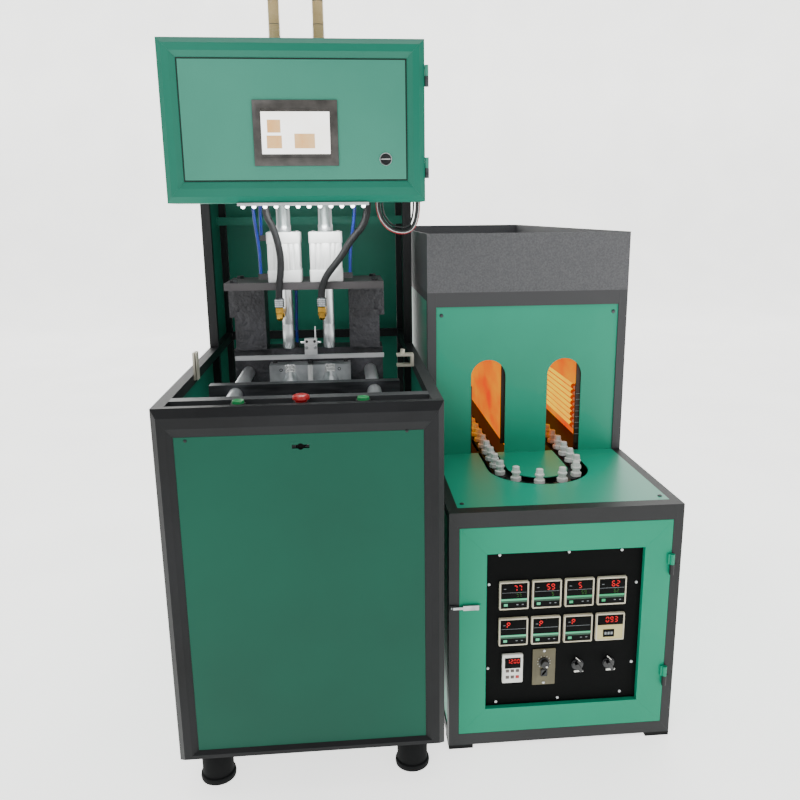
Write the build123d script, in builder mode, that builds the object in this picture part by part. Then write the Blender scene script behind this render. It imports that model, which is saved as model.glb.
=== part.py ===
"""Two-cavity stretch blower with its rotary preform heater, in one shared frame.

The main feature is the mould pair: two bottle cavities that close under the blow heads.
Units are millimetres, X runs to the right, Y away from the operator and Z up from the floor.
"""
from build123d import *
import math
import os

os.makedirs("parts", exist_ok=True)

# Overall layout
blower_width = 600
unit_gap = 24
heater_width = 560
heater_setback = 113
heater_length = 1900
overall_width = blower_width + unit_gap + heater_width
overall_depth = heater_setback + heater_length
front = -overall_depth / 2
left = -overall_width / 2
right = overall_width / 2
mid = left + blower_width / 2
blower_right = left + blower_width
lane_mid = right - heater_width / 2
heater_left = right - heater_width
seam = 0.2
overrun = 5
sheet = 2
sheet_inset = 3

# Blower cabinet and tower
tube = 25
foot_height = 98
cabinet_top = 913
cabinet_depth = 1100
frame_depth = 31
frame_side = 43
frame_top = 60
frame_bottom = 24
post_set = 771
tower_top = 1665
cross_beam_low = 1261
cross_beam_back = 80
bevel_shares = ((0, 1), (0, 0.42), (0.3, 0), (0.68, 0), (1, 0.26), (1, 1))
flat_shares = ((0, 1), (0, 0), (1, 0), (1, 1))
inner_left = left + tube
inner_right = blower_right - tube
rear = front + cabinet_depth
rail_low = cabinet_top - tube
base_top = foot_height + tube
post_y = front + post_set
cabin_y = front + frame_depth

# Feet
foot_side = 70
foot_set = 78
foot_radius = 44
foot_pad = 34
foot_stem = 12

# Front panel
panel_recess = 8
panel_play = 0.5
key_drop = 28
key_length = 36
key_width = 8
key_radius = 7

# Button channel and buttons
channel_depth = 44
channel_drop = 20
channel_lip = 32
channel_wall = 3
button_set = 53
button_side = 2.5
button_share = 0.2175
button_ring = 16
button_ring_height = 18
button_flange = 3
button_bore = 13.4
button_cap = 13
button_shaft = 11
button_shaft_length = 38
button_play = 0.3
button_travel = 4
button_proud = 2
stop_head = 18
stop_height = 11
stop_round = 5
channel_floor = cabinet_top - channel_drop
button_y = front + button_set
button_pitch = button_share * blower_width
button_mid = mid + button_side

# Clamp unit
bed_top = 600
bed_height = 40
bed_width = 40
bed_gap_share = 0.183
end_plate_set = 115
end_plate_depth = 35
end_plate_share = 0.35
clamp_top = 895
platen_set = 285
platen_depth = 30
platen_share = 0.378
platen_top = 900
platen_gap = 5
tie_share = 0.275
tie_radius = 17
tie_high = 876
tie_low = 640
tie_play = 0.6
clamp_axis = 758
clamp_radius = 55
clamp_bore = 48
clamp_start = 45
clamp_length = 180
clamp_cap = 14
clamp_piston = 47.5
clamp_piston_depth = 15
clamp_rod_radius = 20
clamp_rod_play = 0.5
mould_share = 0.178
mould_front_depth = 58
mould_rear_depth = 68
mould_low = 640
mould_high = 884
neck_top = 906
neck_depth = 53
parting_set = 492
cavity_share = 0.175
station_side = 4
cavity_radius = 40
cavity_base = 15
cavity_shoulder = 58
cavity_neck = 13.5
fixed_share = 0.333
fixed_depth = 80
fixed_top = 940
bed_half_gap = bed_gap_share * blower_width
end_plate_half = end_plate_share * blower_width
platen_half = platen_share * blower_width
tie_half = tie_share * blower_width
mould_half = mould_share * blower_width
cavity_pitch = cavity_share * blower_width
fixed_half = fixed_share * blower_width
bed_low = bed_top - bed_height
parting = front + parting_set
platen_y = front + platen_set
platen_back = platen_y + platen_depth
fixed_y = parting + mould_rear_depth
fixed_back = fixed_y + fixed_depth
end_plate_y = front + end_plate_set
station = mid + station_side
cavity_xs = (station - cavity_pitch / 2, station + cavity_pitch / 2)
tie_places = [(mid + side * tie_half, level) for side in (-1, 1) for level in (tie_low, tie_high)]

# Blow station
column_outer_share = 0.32
column_inner_share = 0.185
column_top_share = 0.2975
column_step = 1043
wing_share = 0.343
wing_low = 1027
wing_inset = 8
column_forward = 15
gantry_low = 1108
gantry_thick = 18
gantry_set = 440
seal_half = 42
seal_barrel_half = 40.5
seal_low_cap = 30
seal_height = 124
seal_top_cap = 28
seal_bore = 33
seal_piston = 32.4
seal_piston_height = 12
seal_piston_gap = 2
seal_corner = 8
head_radius = 15
head_bore = 7.5
head_low = 952
head_tip = 3
head_tip_radius = 13
head_play = 0.5
elbow_side = 14
elbow_set = 425
elbow_level = 1045
elbow_radius = 9
elbow_height = 22
ferrule_radius = 12
ferrule_height = 22
stretch_radius = 19
stretch_bore = 14.5
stretch_height = 440
stretch_wall = 12
stretch_piston = 14
stretch_piston_height = 15
stretch_rod = 6
stretch_low = 975
sleeve_radius = 14
sleeve_top = 1850
column_outer = column_outer_share * blower_width
column_inner = column_inner_share * blower_width
column_top = column_top_share * blower_width
wing_outer = wing_share * blower_width
gantry_top = gantry_low + gantry_thick
gantry_y = front + gantry_set
seal_top = gantry_top + seal_height
seal_barrel_low = gantry_top + seal_low_cap
seal_barrel_high = seal_top - seal_top_cap
stretch_top = seal_top + stretch_height
head_top = seal_barrel_high - seal_piston_gap
elbow_y = front + elbow_set
ferrule_low = elbow_level + elbow_height
ferrule_top = ferrule_low + ferrule_height

# Preform bar and guard clips
bar_set = 452
bar_depth = 8
bar_left_share = 0.307
bar_right_share = 0.33
bar_low = 928.5
bar_high = 939.5
bracket_side = 10
bracket_half = 16
bracket_set = 446
bracket_depth = 24
bracket_top = 981
pin_level = 971
pin_half = 26
pin_radius = 3
stud_radius = 2
stud_side = 12
stud_top = 1012
arm_half = 10
arm_back = 620
arm_height = 12
clip_set = 365
clip_depth = 30
clip_low = 898
clip_high = 966
clip_plate = 5
clip_slot = 3
clip_lip = 2
clamp_clip_set = 440
clamp_clip_depth = 30
clamp_clip_reach = 44
clamp_clip_low = 904
clamp_clip_high = 936
clamp_clip_plate = 5
clamp_clip_web = 8
thumb_radius = 6
thumb_height = 12
thumb_reach = 28

# Control box
box_inset = 5
box_low = 1319.5
box_high = 1672
box_set = 310
box_depth = 130
bezel_depth = 25
bezel_side = 41
bezel_top = 42
bezel_bottom = 47
arm_low = 1345
arm_high = 1620
door_recess = 5
door_play = 0.6
screen_side = 1.5
screen_half = 95
screen_half_height = 71
screen_level = 1471
screen_proud = 4
screen_rim = 6
screen_body = 35
screen_play = 0.4
lock_inset = 50
lock_level = 1414
lock_radius = 12
lock_proud = 5
lock_shaft = 8
lock_play = 0.5
lock_depth = 18
lock_cam_width = 14
lock_cam_length = 30
lock_cam_depth = 3
lock_slot_width = 3
lock_slot_depth = 2
lug_levels = (1572, 1372)
lug_half_height = 23
lug_radius = 4.5
lug_set = 322
strip_left_inset = 156
strip_right_inset = 132
strip_set = 314
strip_depth = 10
strip_height = 7
strip_count = 12
lamp_radius = 5
lamp_height = 6
box_half = blower_width / 2 - box_inset
box_left = mid - box_half
box_right = mid + box_half
lock_x = box_right - bezel_side - lock_inset
strip_left = box_left + strip_left_inset
strip_right = box_right - strip_right_inset
box_y = front + box_set
box_back = box_y + box_depth
door_y = box_y + door_recess

# Tube routes, measured sideways from their own cavity, back from the front and up from the floor
hose_radius = 8.75
air_radius = 4
loop_radius = 4.5
bend_share = 0.45
hose_left_route = ((-14, 425, 1089), (-14, 425, 1112), (-6.5, 425, 1158), (-5.5, 420, 1202),
                   (-18.5, 411, 1262),
                   (-34.5, 403, 1290), (-34.5, 403, 1319.5))
hose_right_route = ((-14, 425, 1089), (-14, 425, 1128), (38.5, 420, 1189), (63.5, 415, 1231),
                    (105.5, 400, 1276),
                    (105.5, 400, 1319.5))
air_a_route = ((-60, 462, 1148), (-60, 462, 1175), (-60.5, 455, 1215), (-67, 430, 1295), (-67, 430, 1319.5))
air_b_route = ((-54, 462, 1243), (-54, 462, 1263), (-51, 436, 1296), (-51, 436, 1319.5))
air_c_route = ((60, 462, 1148), (60, 462, 1175), (63, 455, 1215), (75, 430, 1295), (75, 430, 1319.5))
air_d_route = ((19.5, 575, 1094), (19.5, 575, 1064), (16.5, 577, 1010), (16.5, 577, 954))
# The wiring loop is measured sideways from the right side of the control box
loop_route = ((-105, 422, 1319.5), (-105, 422, 1290), (-75, 422, 1252), (-27, 425, 1248), (-9, 428, 1285),
              (-9, 428, 1319.5))
fitting_half = 6
fitting_height = 14

# Heater base and oven
h_tube = 24
pad_height = 10
pad_size = 60
h_front_depth = 33
h_front_top = 38
h_front_bottom = 31
table_top = 621
oven_set = 562
oven_top = 1081
oven_bar = 39
hood_top = 1239
hood_wall = 3
arch_half = 49
arch_top = 892
lane_half = 108.5
slot_half = 27
loop_front = 421
loop_inset = 163
chain_height = 10
chain_width = 12
track_height = 5.8
track_half = 9
link_share = 0.8
holder_pitch = 63
holder_radius = 14
holder_base = 18
holder_neck_radius = 10.5
holder_neck = 24
holder_taper = 6
bracket_height = 24
bracket_width = 24
cross_front = 640
cross_inset = 373
post_half = 12
chain_beam_half = 20
chain_beam_height = 28
shaft_radius = 15
gear_half = 60
gear_height = 85
motor_radius = 55
motor_height = 160
heater_y = front + heater_setback
heater_rear = heater_y + heater_length
h_rail_low = table_top - h_tube
h_base_top = pad_height + h_tube
oven_y = front + oven_set
lane_front = front + loop_front
lane_rear = heater_rear - loop_inset
track_top = h_rail_low + seam + track_height
chain_top = track_top + chain_height
lane_run = lane_rear - lane_front

# Lamps and reflectors
lamp_half = 168
lamp_tube = 5
lamp_count = 8
lamp_pitch = 17
lamp_first = 668
bank_front = 598
bank_inset = 73
bank_plate = 10
bank_half = 17
bank_top = 812
mirror_inner = 44
mirror_outer = 192
mirror_top = 884
mirror_inset = 193
bank_rear = overall_depth - bank_inset
mirror_rear = overall_depth - mirror_inset

# Heater door and its panel
h_door_play = 0.6
h_door_depth = 20
h_door_side = 65
h_door_top = 67
h_door_bottom = 65
control_recess = 13
control_thick = 3
control_play = 0.3
meter_pitch = 79.7
meter_side = 3.2
meter_width = 71
meter_height = 72
meter_proud = 8
meter_rim = 4
meter_body = 62
meter_play = 0.4
meter_rows = (403.5, 308)
keypad_side = -123.3
keypad_level = 210
keypad_width = 51
keypad_height = 76
speed_side = -44.2
speed_level = 207
speed_width = 57
speed_height = 98
speed_thick = 3
keypad_thick = 9
knob_rise = 13
knob_radius = 13
knob_height = 15
selector_level = 207
selector_sides = (40.5, 119)
selector_radius = 15
selector_height = 20
selector_skirt = 5
selector_grip = 5
control_screw = 3.6
control_screw_height = 2.5
screw_sides = ((-158, 507), (9, 507), (138, 506), (-183, 433), (178, 420), (-183, 210), (177, 206),
               (-162, 117), (-7, 118), (151, 125))
hinge_levels = (471, 173)
hinge_half = 26
hinge_radius = 5.5
hinge_gap = 6
hinge_leaf = 10
latch_level = 384
latch_half = 6
latch_base_left = 34
latch_base_right = 76
latch_base_thick = 1.7
latch_thick = 5
latch_pivot = 69
latch_reach = 36
latch_arm = 24
latch_arm_thick = 2
keeper_left = 2
keeper_right = 16
keeper_thick = 4
knob_play = 0.3
h_door_left = heater_left + h_tube + h_door_play
h_door_right = right - h_tube - h_door_play
h_door_low = pad_height + h_front_bottom + h_door_play
h_door_high = table_top - h_front_top - h_door_play
control_left = h_door_left + h_door_side + control_play
control_right = h_door_right - h_door_side - control_play
control_low = h_door_low + h_door_bottom + control_play
control_high = h_door_high - h_door_top - control_play
control_y = heater_y + control_recess
meter_xs = [lane_mid - meter_side + (i - 1.5) * meter_pitch for i in range(4)]
meter_places = [(x, meter_rows[0]) for x in meter_xs] + [(x, meter_rows[1]) for x in meter_xs[:3]]


def block(x0, x1, y0, y1, z0, z1, mode=Mode.ADD):
    """A straight bar or plate between two corners."""
    with Locations(((x0 + x1) / 2, (y0 + y1) / 2, (z0 + z1) / 2)):
        Box(x1 - x0, y1 - y0, z1 - z0, mode=mode)


def upright(x, y, z0, z1, radius, mode=Mode.ADD):
    """A round bar standing along Z."""
    with Locations((x, y, (z0 + z1) / 2)):
        Cylinder(radius, z1 - z0, mode=mode)


def lying(x, z, y0, y1, radius, mode=Mode.ADD):
    """A round bar lying along Y."""
    with Locations(Location((x, (y0 + y1) / 2, z), (90, 0, 0))):
        Cylinder(radius, y1 - y0, mode=mode)


def prism_x(points, x0, x1, mode=Mode.ADD):
    """A profile of (y, z) points drawn out along X."""
    with BuildSketch(Plane(origin=(x0, 0, 0), x_dir=(0, 1, 0), z_dir=(1, 0, 0))) as face:
        Polygon(*points, align=None)
    extrude(face.sketch, amount=x1 - x0, mode=mode)


def prism_y(points, y0, y1, mode=Mode.ADD):
    """A profile of (x, z) points drawn out along Y."""
    with BuildSketch(Plane(origin=(0, y1, 0), x_dir=(1, 0, 0), z_dir=(0, -1, 0))) as face:
        Polygon(*points, align=None)
    extrude(face.sketch, amount=y1 - y0, mode=mode)


def prism_z(points, z0, z1, mode=Mode.ADD):
    """A profile of (x, y) points drawn out along Z."""
    with BuildSketch(Plane(origin=(0, 0, z0))) as face:
        Polygon(*points, align=None)
    extrude(face.sketch, amount=z1 - z0, mode=mode)


def picture_frame(x0, x1, z0, z1, side, top, bottom, y0, depth, shares):
    """Four mitred bars round an opening, each drawn from one profile of width and depth shares."""
    for low, high, width in ((x0, x0 + side, side), (x1, x1 - side, -side)):
        with BuildPart() as bar:
            prism_z([(low + s * width, y0 + d * depth) for s, d in shares], z0, z1)
            prism_y([(low, z0 + seam), (high, z0 + bottom + seam), (high, z1 - top - seam),
                     (low, z1 - seam)],
                    y0 - overrun, y0 + depth + overrun, Mode.INTERSECT)
        add(bar.part)
    for low, high, width in ((z0, z0 + bottom, bottom), (z1, z1 - top, -top)):
        with BuildPart() as bar:
            prism_x([(y0 + d * depth, low + s * width) for s, d in shares], x0, x1)
            prism_y([(x0, low), (x1, low), (x1 - side, high), (x0 + side, high)],
                    y0 - overrun, y0 + depth + overrun, Mode.INTERSECT)
        add(bar.part)


def bend_radii(points):
    """The largest even bends that the runs of a route leave room for."""
    radii = []
    for before, here, after in zip(points, points[1:], points[2:]):
        a = Vector(*here) - Vector(*before)
        b = Vector(*after) - Vector(*here)
        half_turn = math.radians(a.get_angle(b)) / 2
        radii.append(bend_share * min(a.length, b.length) / math.tan(half_turn))
    return radii


def route_points(route, side):
    """The points of a route that is measured from one side position."""
    return [(side + x, front + y, z) for x, y, z in route]


def tube_run(route, side, radius):
    """A round tube along straight runs joined by tangent arcs."""
    points = route_points(route, side)
    radii = bend_radii(points)
    with BuildLine() as path:
        FilletPolyline(*points, radius=radii)
    with BuildSketch(Plane(origin=path.line @ 0, z_dir=path.line % 0)) as face:
        Circle(radius)
    sweep(face.sketch, path=path.line)


def finish(part, name):
    """Name one node and store it."""
    part.label = name
    export_step(part, "parts/" + name + ".step")


# Front picture frame of the cabinet
with BuildPart() as blower_front_frame:
    picture_frame(left, blower_right, foot_height, cabinet_top, frame_side, frame_top, frame_bottom, front,
                  frame_depth, bevel_shares)
finish(blower_front_frame.part, "blower_front_frame")

# Tubes of the cabinet, the tower and the arms that carry the control box
with BuildPart() as blower_tubes:
    for x, skin in ((left, sheet_inset + sheet), (inner_right, 0)):
        far = x + tube
        block(x, far, cabin_y + seam, post_y - seam, rail_low, cabinet_top)
        block(x, far, cabin_y + seam, rear, foot_height, base_top)
        inset = sheet_inset + sheet - skin
        block(x + skin, far - inset, cabin_y + seam, post_y - seam, bed_low - tube, bed_low)
        block(x, far, post_y, post_y + tube, base_top + seam, tower_top)
        block(x, far, rear - tube, rear, base_top + seam, tower_top)
        for level in (rail_low, tower_top - tube):
            block(x, far, post_y + tube + seam, rear - tube - seam, level, level + tube)
        for level in (arm_low, arm_high):
            block(x, far, box_back, post_y - seam, level, level + tube)
        block(x, far, box_back, box_back + tube, arm_low + tube + seam, arm_high - seam)
    span = (inner_left + seam, inner_right - seam)
    for y in (front + foot_set, rear - foot_set):
        block(*span, y - tube / 2, y + tube / 2, foot_height, base_top)
    for level in (foot_height, rail_low, tower_top - tube):
        block(*span, rear - tube, rear, level, level + tube)
    block(*span, post_y, post_y + tube, tower_top - tube, tower_top)
    for y in (end_plate_y, fixed_back - tube):
        block(*span, y, y + tube, bed_low - tube, bed_low)
finish(blower_tubes.part, "blower_tubes")

# Levelling feet
with BuildPart() as blower_feet:
    for x in (left + foot_side, blower_right - foot_side):
        for y in (front + foot_set, rear - foot_set):
            upright(x, y, 0, foot_pad, foot_radius)
            upright(x, y, foot_pad, foot_height, foot_stem)
finish(blower_feet.part, "blower_feet")

# Front panel with its key slot
with BuildPart() as front_panel:
    block(left + frame_side + panel_play, blower_right - frame_side - panel_play, front + panel_recess,
          front + panel_recess + sheet, foot_height + frame_bottom + panel_play,
          cabinet_top - frame_top - panel_play)
    key_level = cabinet_top - frame_top - key_drop
    block(mid - key_length / 2, mid + key_length / 2, front, front + panel_recess + sheet + overrun,
          key_level - key_width / 2, key_level + key_width / 2, Mode.SUBTRACT)
    lying(mid, key_level, front, front + panel_recess + sheet + overrun, key_radius, Mode.SUBTRACT)
finish(front_panel.part, "front_panel")

# Green sheets of the cabinet and the tower, with the beam across the tower
with BuildPart() as blower_panels:
    tower = (post_y + tube + seam, rear - tube - seam)
    for x in (left + sheet_inset, blower_right - sheet_inset - sheet):
        block(x, x + sheet, cabin_y + seam, post_y - seam, base_top + seam, rail_low - seam)
        block(x, x + sheet, *tower, base_top + seam, rail_low - seam)
        block(x, x + sheet, *tower, cabinet_top + seam, tower_top - tube - seam)
    span = (inner_left + seam, inner_right - seam)
    back = rear - sheet_inset
    block(*span, back - sheet, back, base_top + seam, rail_low - seam)
    block(*span, back - sheet, back, cabinet_top + seam, tower_top - tube - seam)
    block(left, blower_right, post_y, rear, tower_top, tower_top + sheet)
    skin = sheet_inset + sheet + seam
    block(left + skin, blower_right - skin, rear - cross_beam_back, rear - cross_beam_back + tube,
          cross_beam_low, cross_beam_low + tube)
finish(blower_panels.part, "blower_panels")

# Channel for the buttons, one bent sheet
with BuildPart() as button_channel:
    y1 = cabin_y + channel_depth
    low = channel_floor - channel_wall
    prism_x([(cabin_y, low), (y1 + channel_wall, low), (y1 + channel_wall, cabinet_top - channel_wall),
             (y1 + channel_lip, cabinet_top - channel_wall), (y1 + channel_lip, cabinet_top),
             (y1, cabinet_top),
             (y1, channel_floor), (cabin_y, channel_floor)], inner_left, inner_right)
    for i in (-1, 0, 1):
        upright(button_mid + i * button_pitch, button_y, low - overrun, channel_floor + overrun,
                button_shaft + button_play, Mode.SUBTRACT)
finish(button_channel.part, "button_channel")

# Bodies of the three buttons
with BuildPart() as button_bodies:
    for i in (-1, 0, 1):
        x = button_mid + i * button_pitch
        upright(x, button_y, channel_floor, channel_floor + button_ring_height, button_ring)
        upright(x, button_y, channel_floor - button_shaft_length, channel_floor, button_shaft)
        upright(x, button_y, channel_floor + button_flange, cabinet_top + overrun, button_bore,
                Mode.SUBTRACT)
finish(button_bodies.part, "button_bodies")

# Start buttons, pressed with both hands
cap_low = channel_floor + button_flange + button_travel + seam
with BuildPart() as start_button_left:
    upright(button_mid - button_pitch, button_y, cap_low, cabinet_top + button_proud, button_cap)
finish(start_button_left.part, "start_button_left")

with BuildPart() as start_button_right:
    upright(button_mid + button_pitch, button_y, cap_low, cabinet_top + button_proud, button_cap)
finish(start_button_right.part, "start_button_right")

# Stop button with its mushroom head
with BuildPart() as stop_button:
    head = channel_floor + button_ring_height + button_travel + seam
    upright(button_mid, button_y, head, head + stop_height, stop_head)
    fillet(stop_button.edges().group_by(Axis.Z)[-1], stop_round)
    upright(button_mid, button_y, cap_low, head, button_cap)
finish(stop_button.part, "stop_button")

# Bed beams with the front end plate of the clamp
with BuildPart() as clamp_bed:
    for side in (-1, 1):
        x = mid + side * (bed_half_gap + bed_width / 2)
        block(x - bed_width / 2, x + bed_width / 2, end_plate_y, fixed_back, bed_low, bed_top)
    block(mid - end_plate_half, mid + end_plate_half, end_plate_y, end_plate_y + end_plate_depth,
          bed_top + seam, clamp_top)
    for x, z in tie_places:
        lying(x, z, end_plate_y - overrun, end_plate_y + end_plate_depth + overrun, tie_radius + tie_play,
              Mode.SUBTRACT)
    lying(mid, clamp_axis, end_plate_y - overrun, end_plate_y + end_plate_depth + overrun,
          clamp_radius + tie_play, Mode.SUBTRACT)
finish(clamp_bed.part, "clamp_bed")

# Tie bars from the end plate to the fixed platen
with BuildPart() as tie_bars:
    for x, z in tie_places:
        lying(x, z, end_plate_y, fixed_back, tie_radius)
finish(tie_bars.part, "tie_bars")

# Clamp cylinder, flanged in the end plate
with BuildPart() as clamp_cylinder:
    y0 = front + clamp_start
    y1 = y0 + clamp_length
    lying(mid, clamp_axis, y0, y1, clamp_radius)
    lying(mid, clamp_axis, y0 + clamp_cap, y1 - clamp_cap, clamp_bore, Mode.SUBTRACT)
    lying(mid, clamp_axis, y1 - clamp_cap - overrun, y1 + overrun, clamp_rod_radius + clamp_rod_play,
          Mode.SUBTRACT)
finish(clamp_cylinder.part, "clamp_cylinder")

# Clamp rod with its piston
with BuildPart() as clamp_rod:
    y0 = front + clamp_start + clamp_cap + seam
    lying(mid, clamp_axis, y0, y0 + clamp_piston_depth, clamp_piston)
    lying(mid, clamp_axis, y0 + clamp_piston_depth, platen_y, clamp_rod_radius)
finish(clamp_rod.part, "clamp_rod")

# Moving platen on the tie bars
with BuildPart() as moving_platen:
    block(mid - platen_half, mid + platen_half, platen_y, platen_back, bed_top + platen_gap, platen_top)
    for x, z in tie_places:
        lying(x, z, platen_y - overrun, platen_back + overrun, tie_radius + tie_play, Mode.SUBTRACT)
finish(moving_platen.part, "moving_platen")


def bottle_cavity(x, y):
    """Half a bottle cut into a mould face: body, shoulder and neck."""
    low = mould_low + cavity_base
    shoulder = mould_high - cavity_shoulder
    upright(x, y, low, shoulder, cavity_radius, Mode.SUBTRACT)
    with Locations((x, y, (shoulder + mould_high) / 2)):
        Cone(cavity_radius, cavity_neck, mould_high - shoulder, mode=Mode.SUBTRACT)


# Front mould half, carried by the moving platen
with BuildPart() as front_mould:
    face_y = platen_back + mould_front_depth
    block(station - mould_half, station + mould_half, platen_back, face_y, mould_low, mould_high)
    for x in cavity_xs:
        bottle_cavity(x, face_y)
finish(front_mould.part, "front_mould")

# Rear mould half on the fixed platen, with the neck holder on top
with BuildPart() as rear_mould:
    block(station - mould_half, station + mould_half, parting, fixed_y, mould_low, mould_high)
    for x in cavity_xs:
        bottle_cavity(x, parting)
    block(station - mould_half, station + mould_half, parting, parting + neck_depth, mould_high + seam,
          neck_top)
    for x in cavity_xs:
        upright(x, parting, mould_high + seam, neck_top + overrun, cavity_neck, Mode.SUBTRACT)
finish(rear_mould.part, "rear_mould")

# Fixed platen casting with its two stepped columns and the wings that stiffen their tops
with BuildPart() as fixed_platen:
    block(mid - fixed_half, mid + fixed_half, fixed_y, fixed_back, bed_top, fixed_top)
    for x, z in tie_places:
        lying(x, z, fixed_y - overrun, fixed_back + overrun, tie_radius + tie_play, Mode.SUBTRACT)
    for side in (-1, 1):
        column = [mid + side * half for half in (column_inner, column_top, column_outer, wing_outer)]
        y0 = fixed_y - column_forward
        block(*sorted((column[0], column[2])), y0, fixed_back, fixed_top + seam, column_step - seam)
        block(*sorted((column[0], column[1])), y0, fixed_back, column_step, gantry_low)
        wing = sorted((column[1] + side * seam, column[3]))
        block(*wing, y0 + wing_inset, fixed_back, column_step, gantry_low)
        lip = sorted((column[2] + side * seam, column[3]))
        block(*lip, y0 + wing_inset, fixed_back, wing_low, column_step - seam)
finish(fixed_platen.part, "fixed_platen")

# Gantry plate over the columns
with BuildPart() as gantry_plate:
    block(mid - fixed_half, mid + fixed_half, gantry_y, fixed_back, gantry_low, gantry_top)
    for x in cavity_xs:
        upright(x, parting, gantry_low - overrun, gantry_top + overrun, head_radius + head_play,
                Mode.SUBTRACT)
finish(gantry_plate.part, "gantry_plate")

# Seal cylinders: a cap, a barrel and a cap each
with BuildPart() as seal_cylinders:
    for x in cavity_xs:
        for half, z0, z1, bore in ((seal_half, gantry_top, seal_barrel_low, head_radius + head_play),
                                   (seal_barrel_half, seal_barrel_low + seam, seal_barrel_high - seam,
                                    seal_bore),
                                   (seal_half, seal_barrel_high, seal_top, stretch_rod + head_play)):
            with BuildPart() as ring:
                with BuildSketch(Plane(origin=(x, parting, z0))) as face:
                    RectangleRounded(2 * half, 2 * half, seal_corner)
                extrude(face.sketch, amount=z1 - z0)
                upright(x, parting, z0 - overrun, z1 + overrun, bore, Mode.SUBTRACT)
            add(ring.part)
finish(seal_cylinders.part, "seal_cylinders")

# Stretch cylinders with the tan tubes above them
with BuildPart() as stretch_cylinders:
    for x in cavity_xs:
        upright(x, parting, seal_top, stretch_top, stretch_radius)
        upright(x, parting, seal_top + stretch_wall, stretch_top - stretch_wall, stretch_bore,
                Mode.SUBTRACT)
        upright(x, parting, seal_top - overrun, seal_top + stretch_wall + overrun, stretch_rod + head_play,
                Mode.SUBTRACT)
        upright(x, parting, stretch_top + seam, sleeve_top, sleeve_radius)
finish(stretch_cylinders.part, "stretch_cylinders")


def blow_head(x):
    """A hollow rod with its piston, and the elbow and ferrule for the hose."""
    upright(x, parting, head_low + head_tip, head_top, head_radius)
    with Locations((x, parting, head_low + head_tip / 2)):
        Cone(head_tip_radius, head_radius, head_tip)
    upright(x, parting, head_top - seal_piston_height, head_top, seal_piston)
    ex = x - elbow_side
    lying(ex, elbow_level, elbow_y, parting, elbow_radius)
    upright(ex, elbow_y, elbow_level - elbow_radius, ferrule_low, elbow_radius)
    upright(ex, elbow_y, ferrule_low, ferrule_top, ferrule_radius)
    upright(x, parting, head_low - overrun, head_top + overrun, head_bore, Mode.SUBTRACT)


with BuildPart() as blow_head_left:
    blow_head(cavity_xs[0])
finish(blow_head_left.part, "blow_head_left")

with BuildPart() as blow_head_right:
    blow_head(cavity_xs[1])
finish(blow_head_right.part, "blow_head_right")


def stretch_bar(x):
    """A stretch rod hanging from its piston."""
    top = stretch_top - stretch_wall - seam
    upright(x, parting, stretch_low, top, stretch_rod)
    upright(x, parting, top - stretch_piston_height, top, stretch_piston)


with BuildPart() as stretch_rod_left:
    stretch_bar(cavity_xs[0])
finish(stretch_rod_left.part, "stretch_rod_left")

with BuildPart() as stretch_rod_right:
    stretch_bar(cavity_xs[1])
finish(stretch_rod_right.part, "stretch_rod_right")

# Preform bar, its bracket with a cross pin and a stud, and the flat arm on the fixed platen that carries it
with BuildPart() as preform_bar:
    bar_y = front + bar_set
    bracket_y = front + bracket_set
    block(mid - bar_left_share * blower_width, mid + bar_right_share * blower_width, bar_y,
          bar_y + bar_depth, bar_low, bar_high)
    bx = mid + bracket_side
    block(bx - bracket_half, bx + bracket_half, bracket_y, bracket_y + bracket_depth, bar_high + seam,
          bracket_top)
    with Locations(Location((bx, bracket_y + bracket_depth / 2, pin_level), (0, 90, 0))):
        Cylinder(pin_radius, 2 * pin_half)
    upright(bx + stud_side, bracket_y + bracket_depth / 2, bracket_top, stud_top, stud_radius)
    block(bx - arm_half, bx + arm_half, bracket_y + bracket_depth + seam, front + arm_back, fixed_top,
          fixed_top + arm_height)
finish(preform_bar.part, "preform_bar")

# Guard clips on the two side rails
with BuildPart() as guard_clips:
    y0 = front + clip_set
    y1 = y0 + clip_depth
    x1 = inner_left + clip_plate
    x2 = x1 + clip_slot
    x3 = x2 + clip_lip
    prism_z([(inner_left, y0), (x1, y0), (x1, y1 - clip_lip), (x2, y1 - clip_lip), (x2, y0), (x3, y0),
             (x3, y1), (inner_left, y1)], clip_low, clip_high)
    y0 = front + clamp_clip_set
    y1 = y0 + clamp_clip_depth
    x0 = inner_right - clamp_clip_reach
    web = inner_right - clamp_clip_web
    z1 = clamp_clip_low + clamp_clip_plate
    z2 = clamp_clip_high - clamp_clip_plate
    prism_y([(x0, clamp_clip_low), (inner_right, clamp_clip_low), (inner_right, clamp_clip_high),
             (x0, clamp_clip_high), (x0, z2), (web, z2), (web, z1), (x0, z1)], y0, y1)
    upright(inner_right - thumb_reach, (y0 + y1) / 2, clamp_clip_high, clamp_clip_high + thumb_height,
            thumb_radius)
finish(guard_clips.part, "guard_clips")

# Blow hoses from the ferrules to the control box
with BuildPart() as blow_hose_left:
    tube_run(hose_left_route, cavity_xs[0], hose_radius)
finish(blow_hose_left.part, "blow_hose_left")

with BuildPart() as blow_hose_right:
    tube_run(hose_right_route, cavity_xs[1], hose_radius)
finish(blow_hose_right.part, "blow_hose_right")

# Blue air tubes
with BuildPart() as air_tubes:
    for route in (air_a_route, air_b_route, air_d_route):
        tube_run(route, cavity_xs[0], air_radius)
    tube_run(air_c_route, cavity_xs[1], air_radius)
finish(air_tubes.part, "air_tubes")

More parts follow.
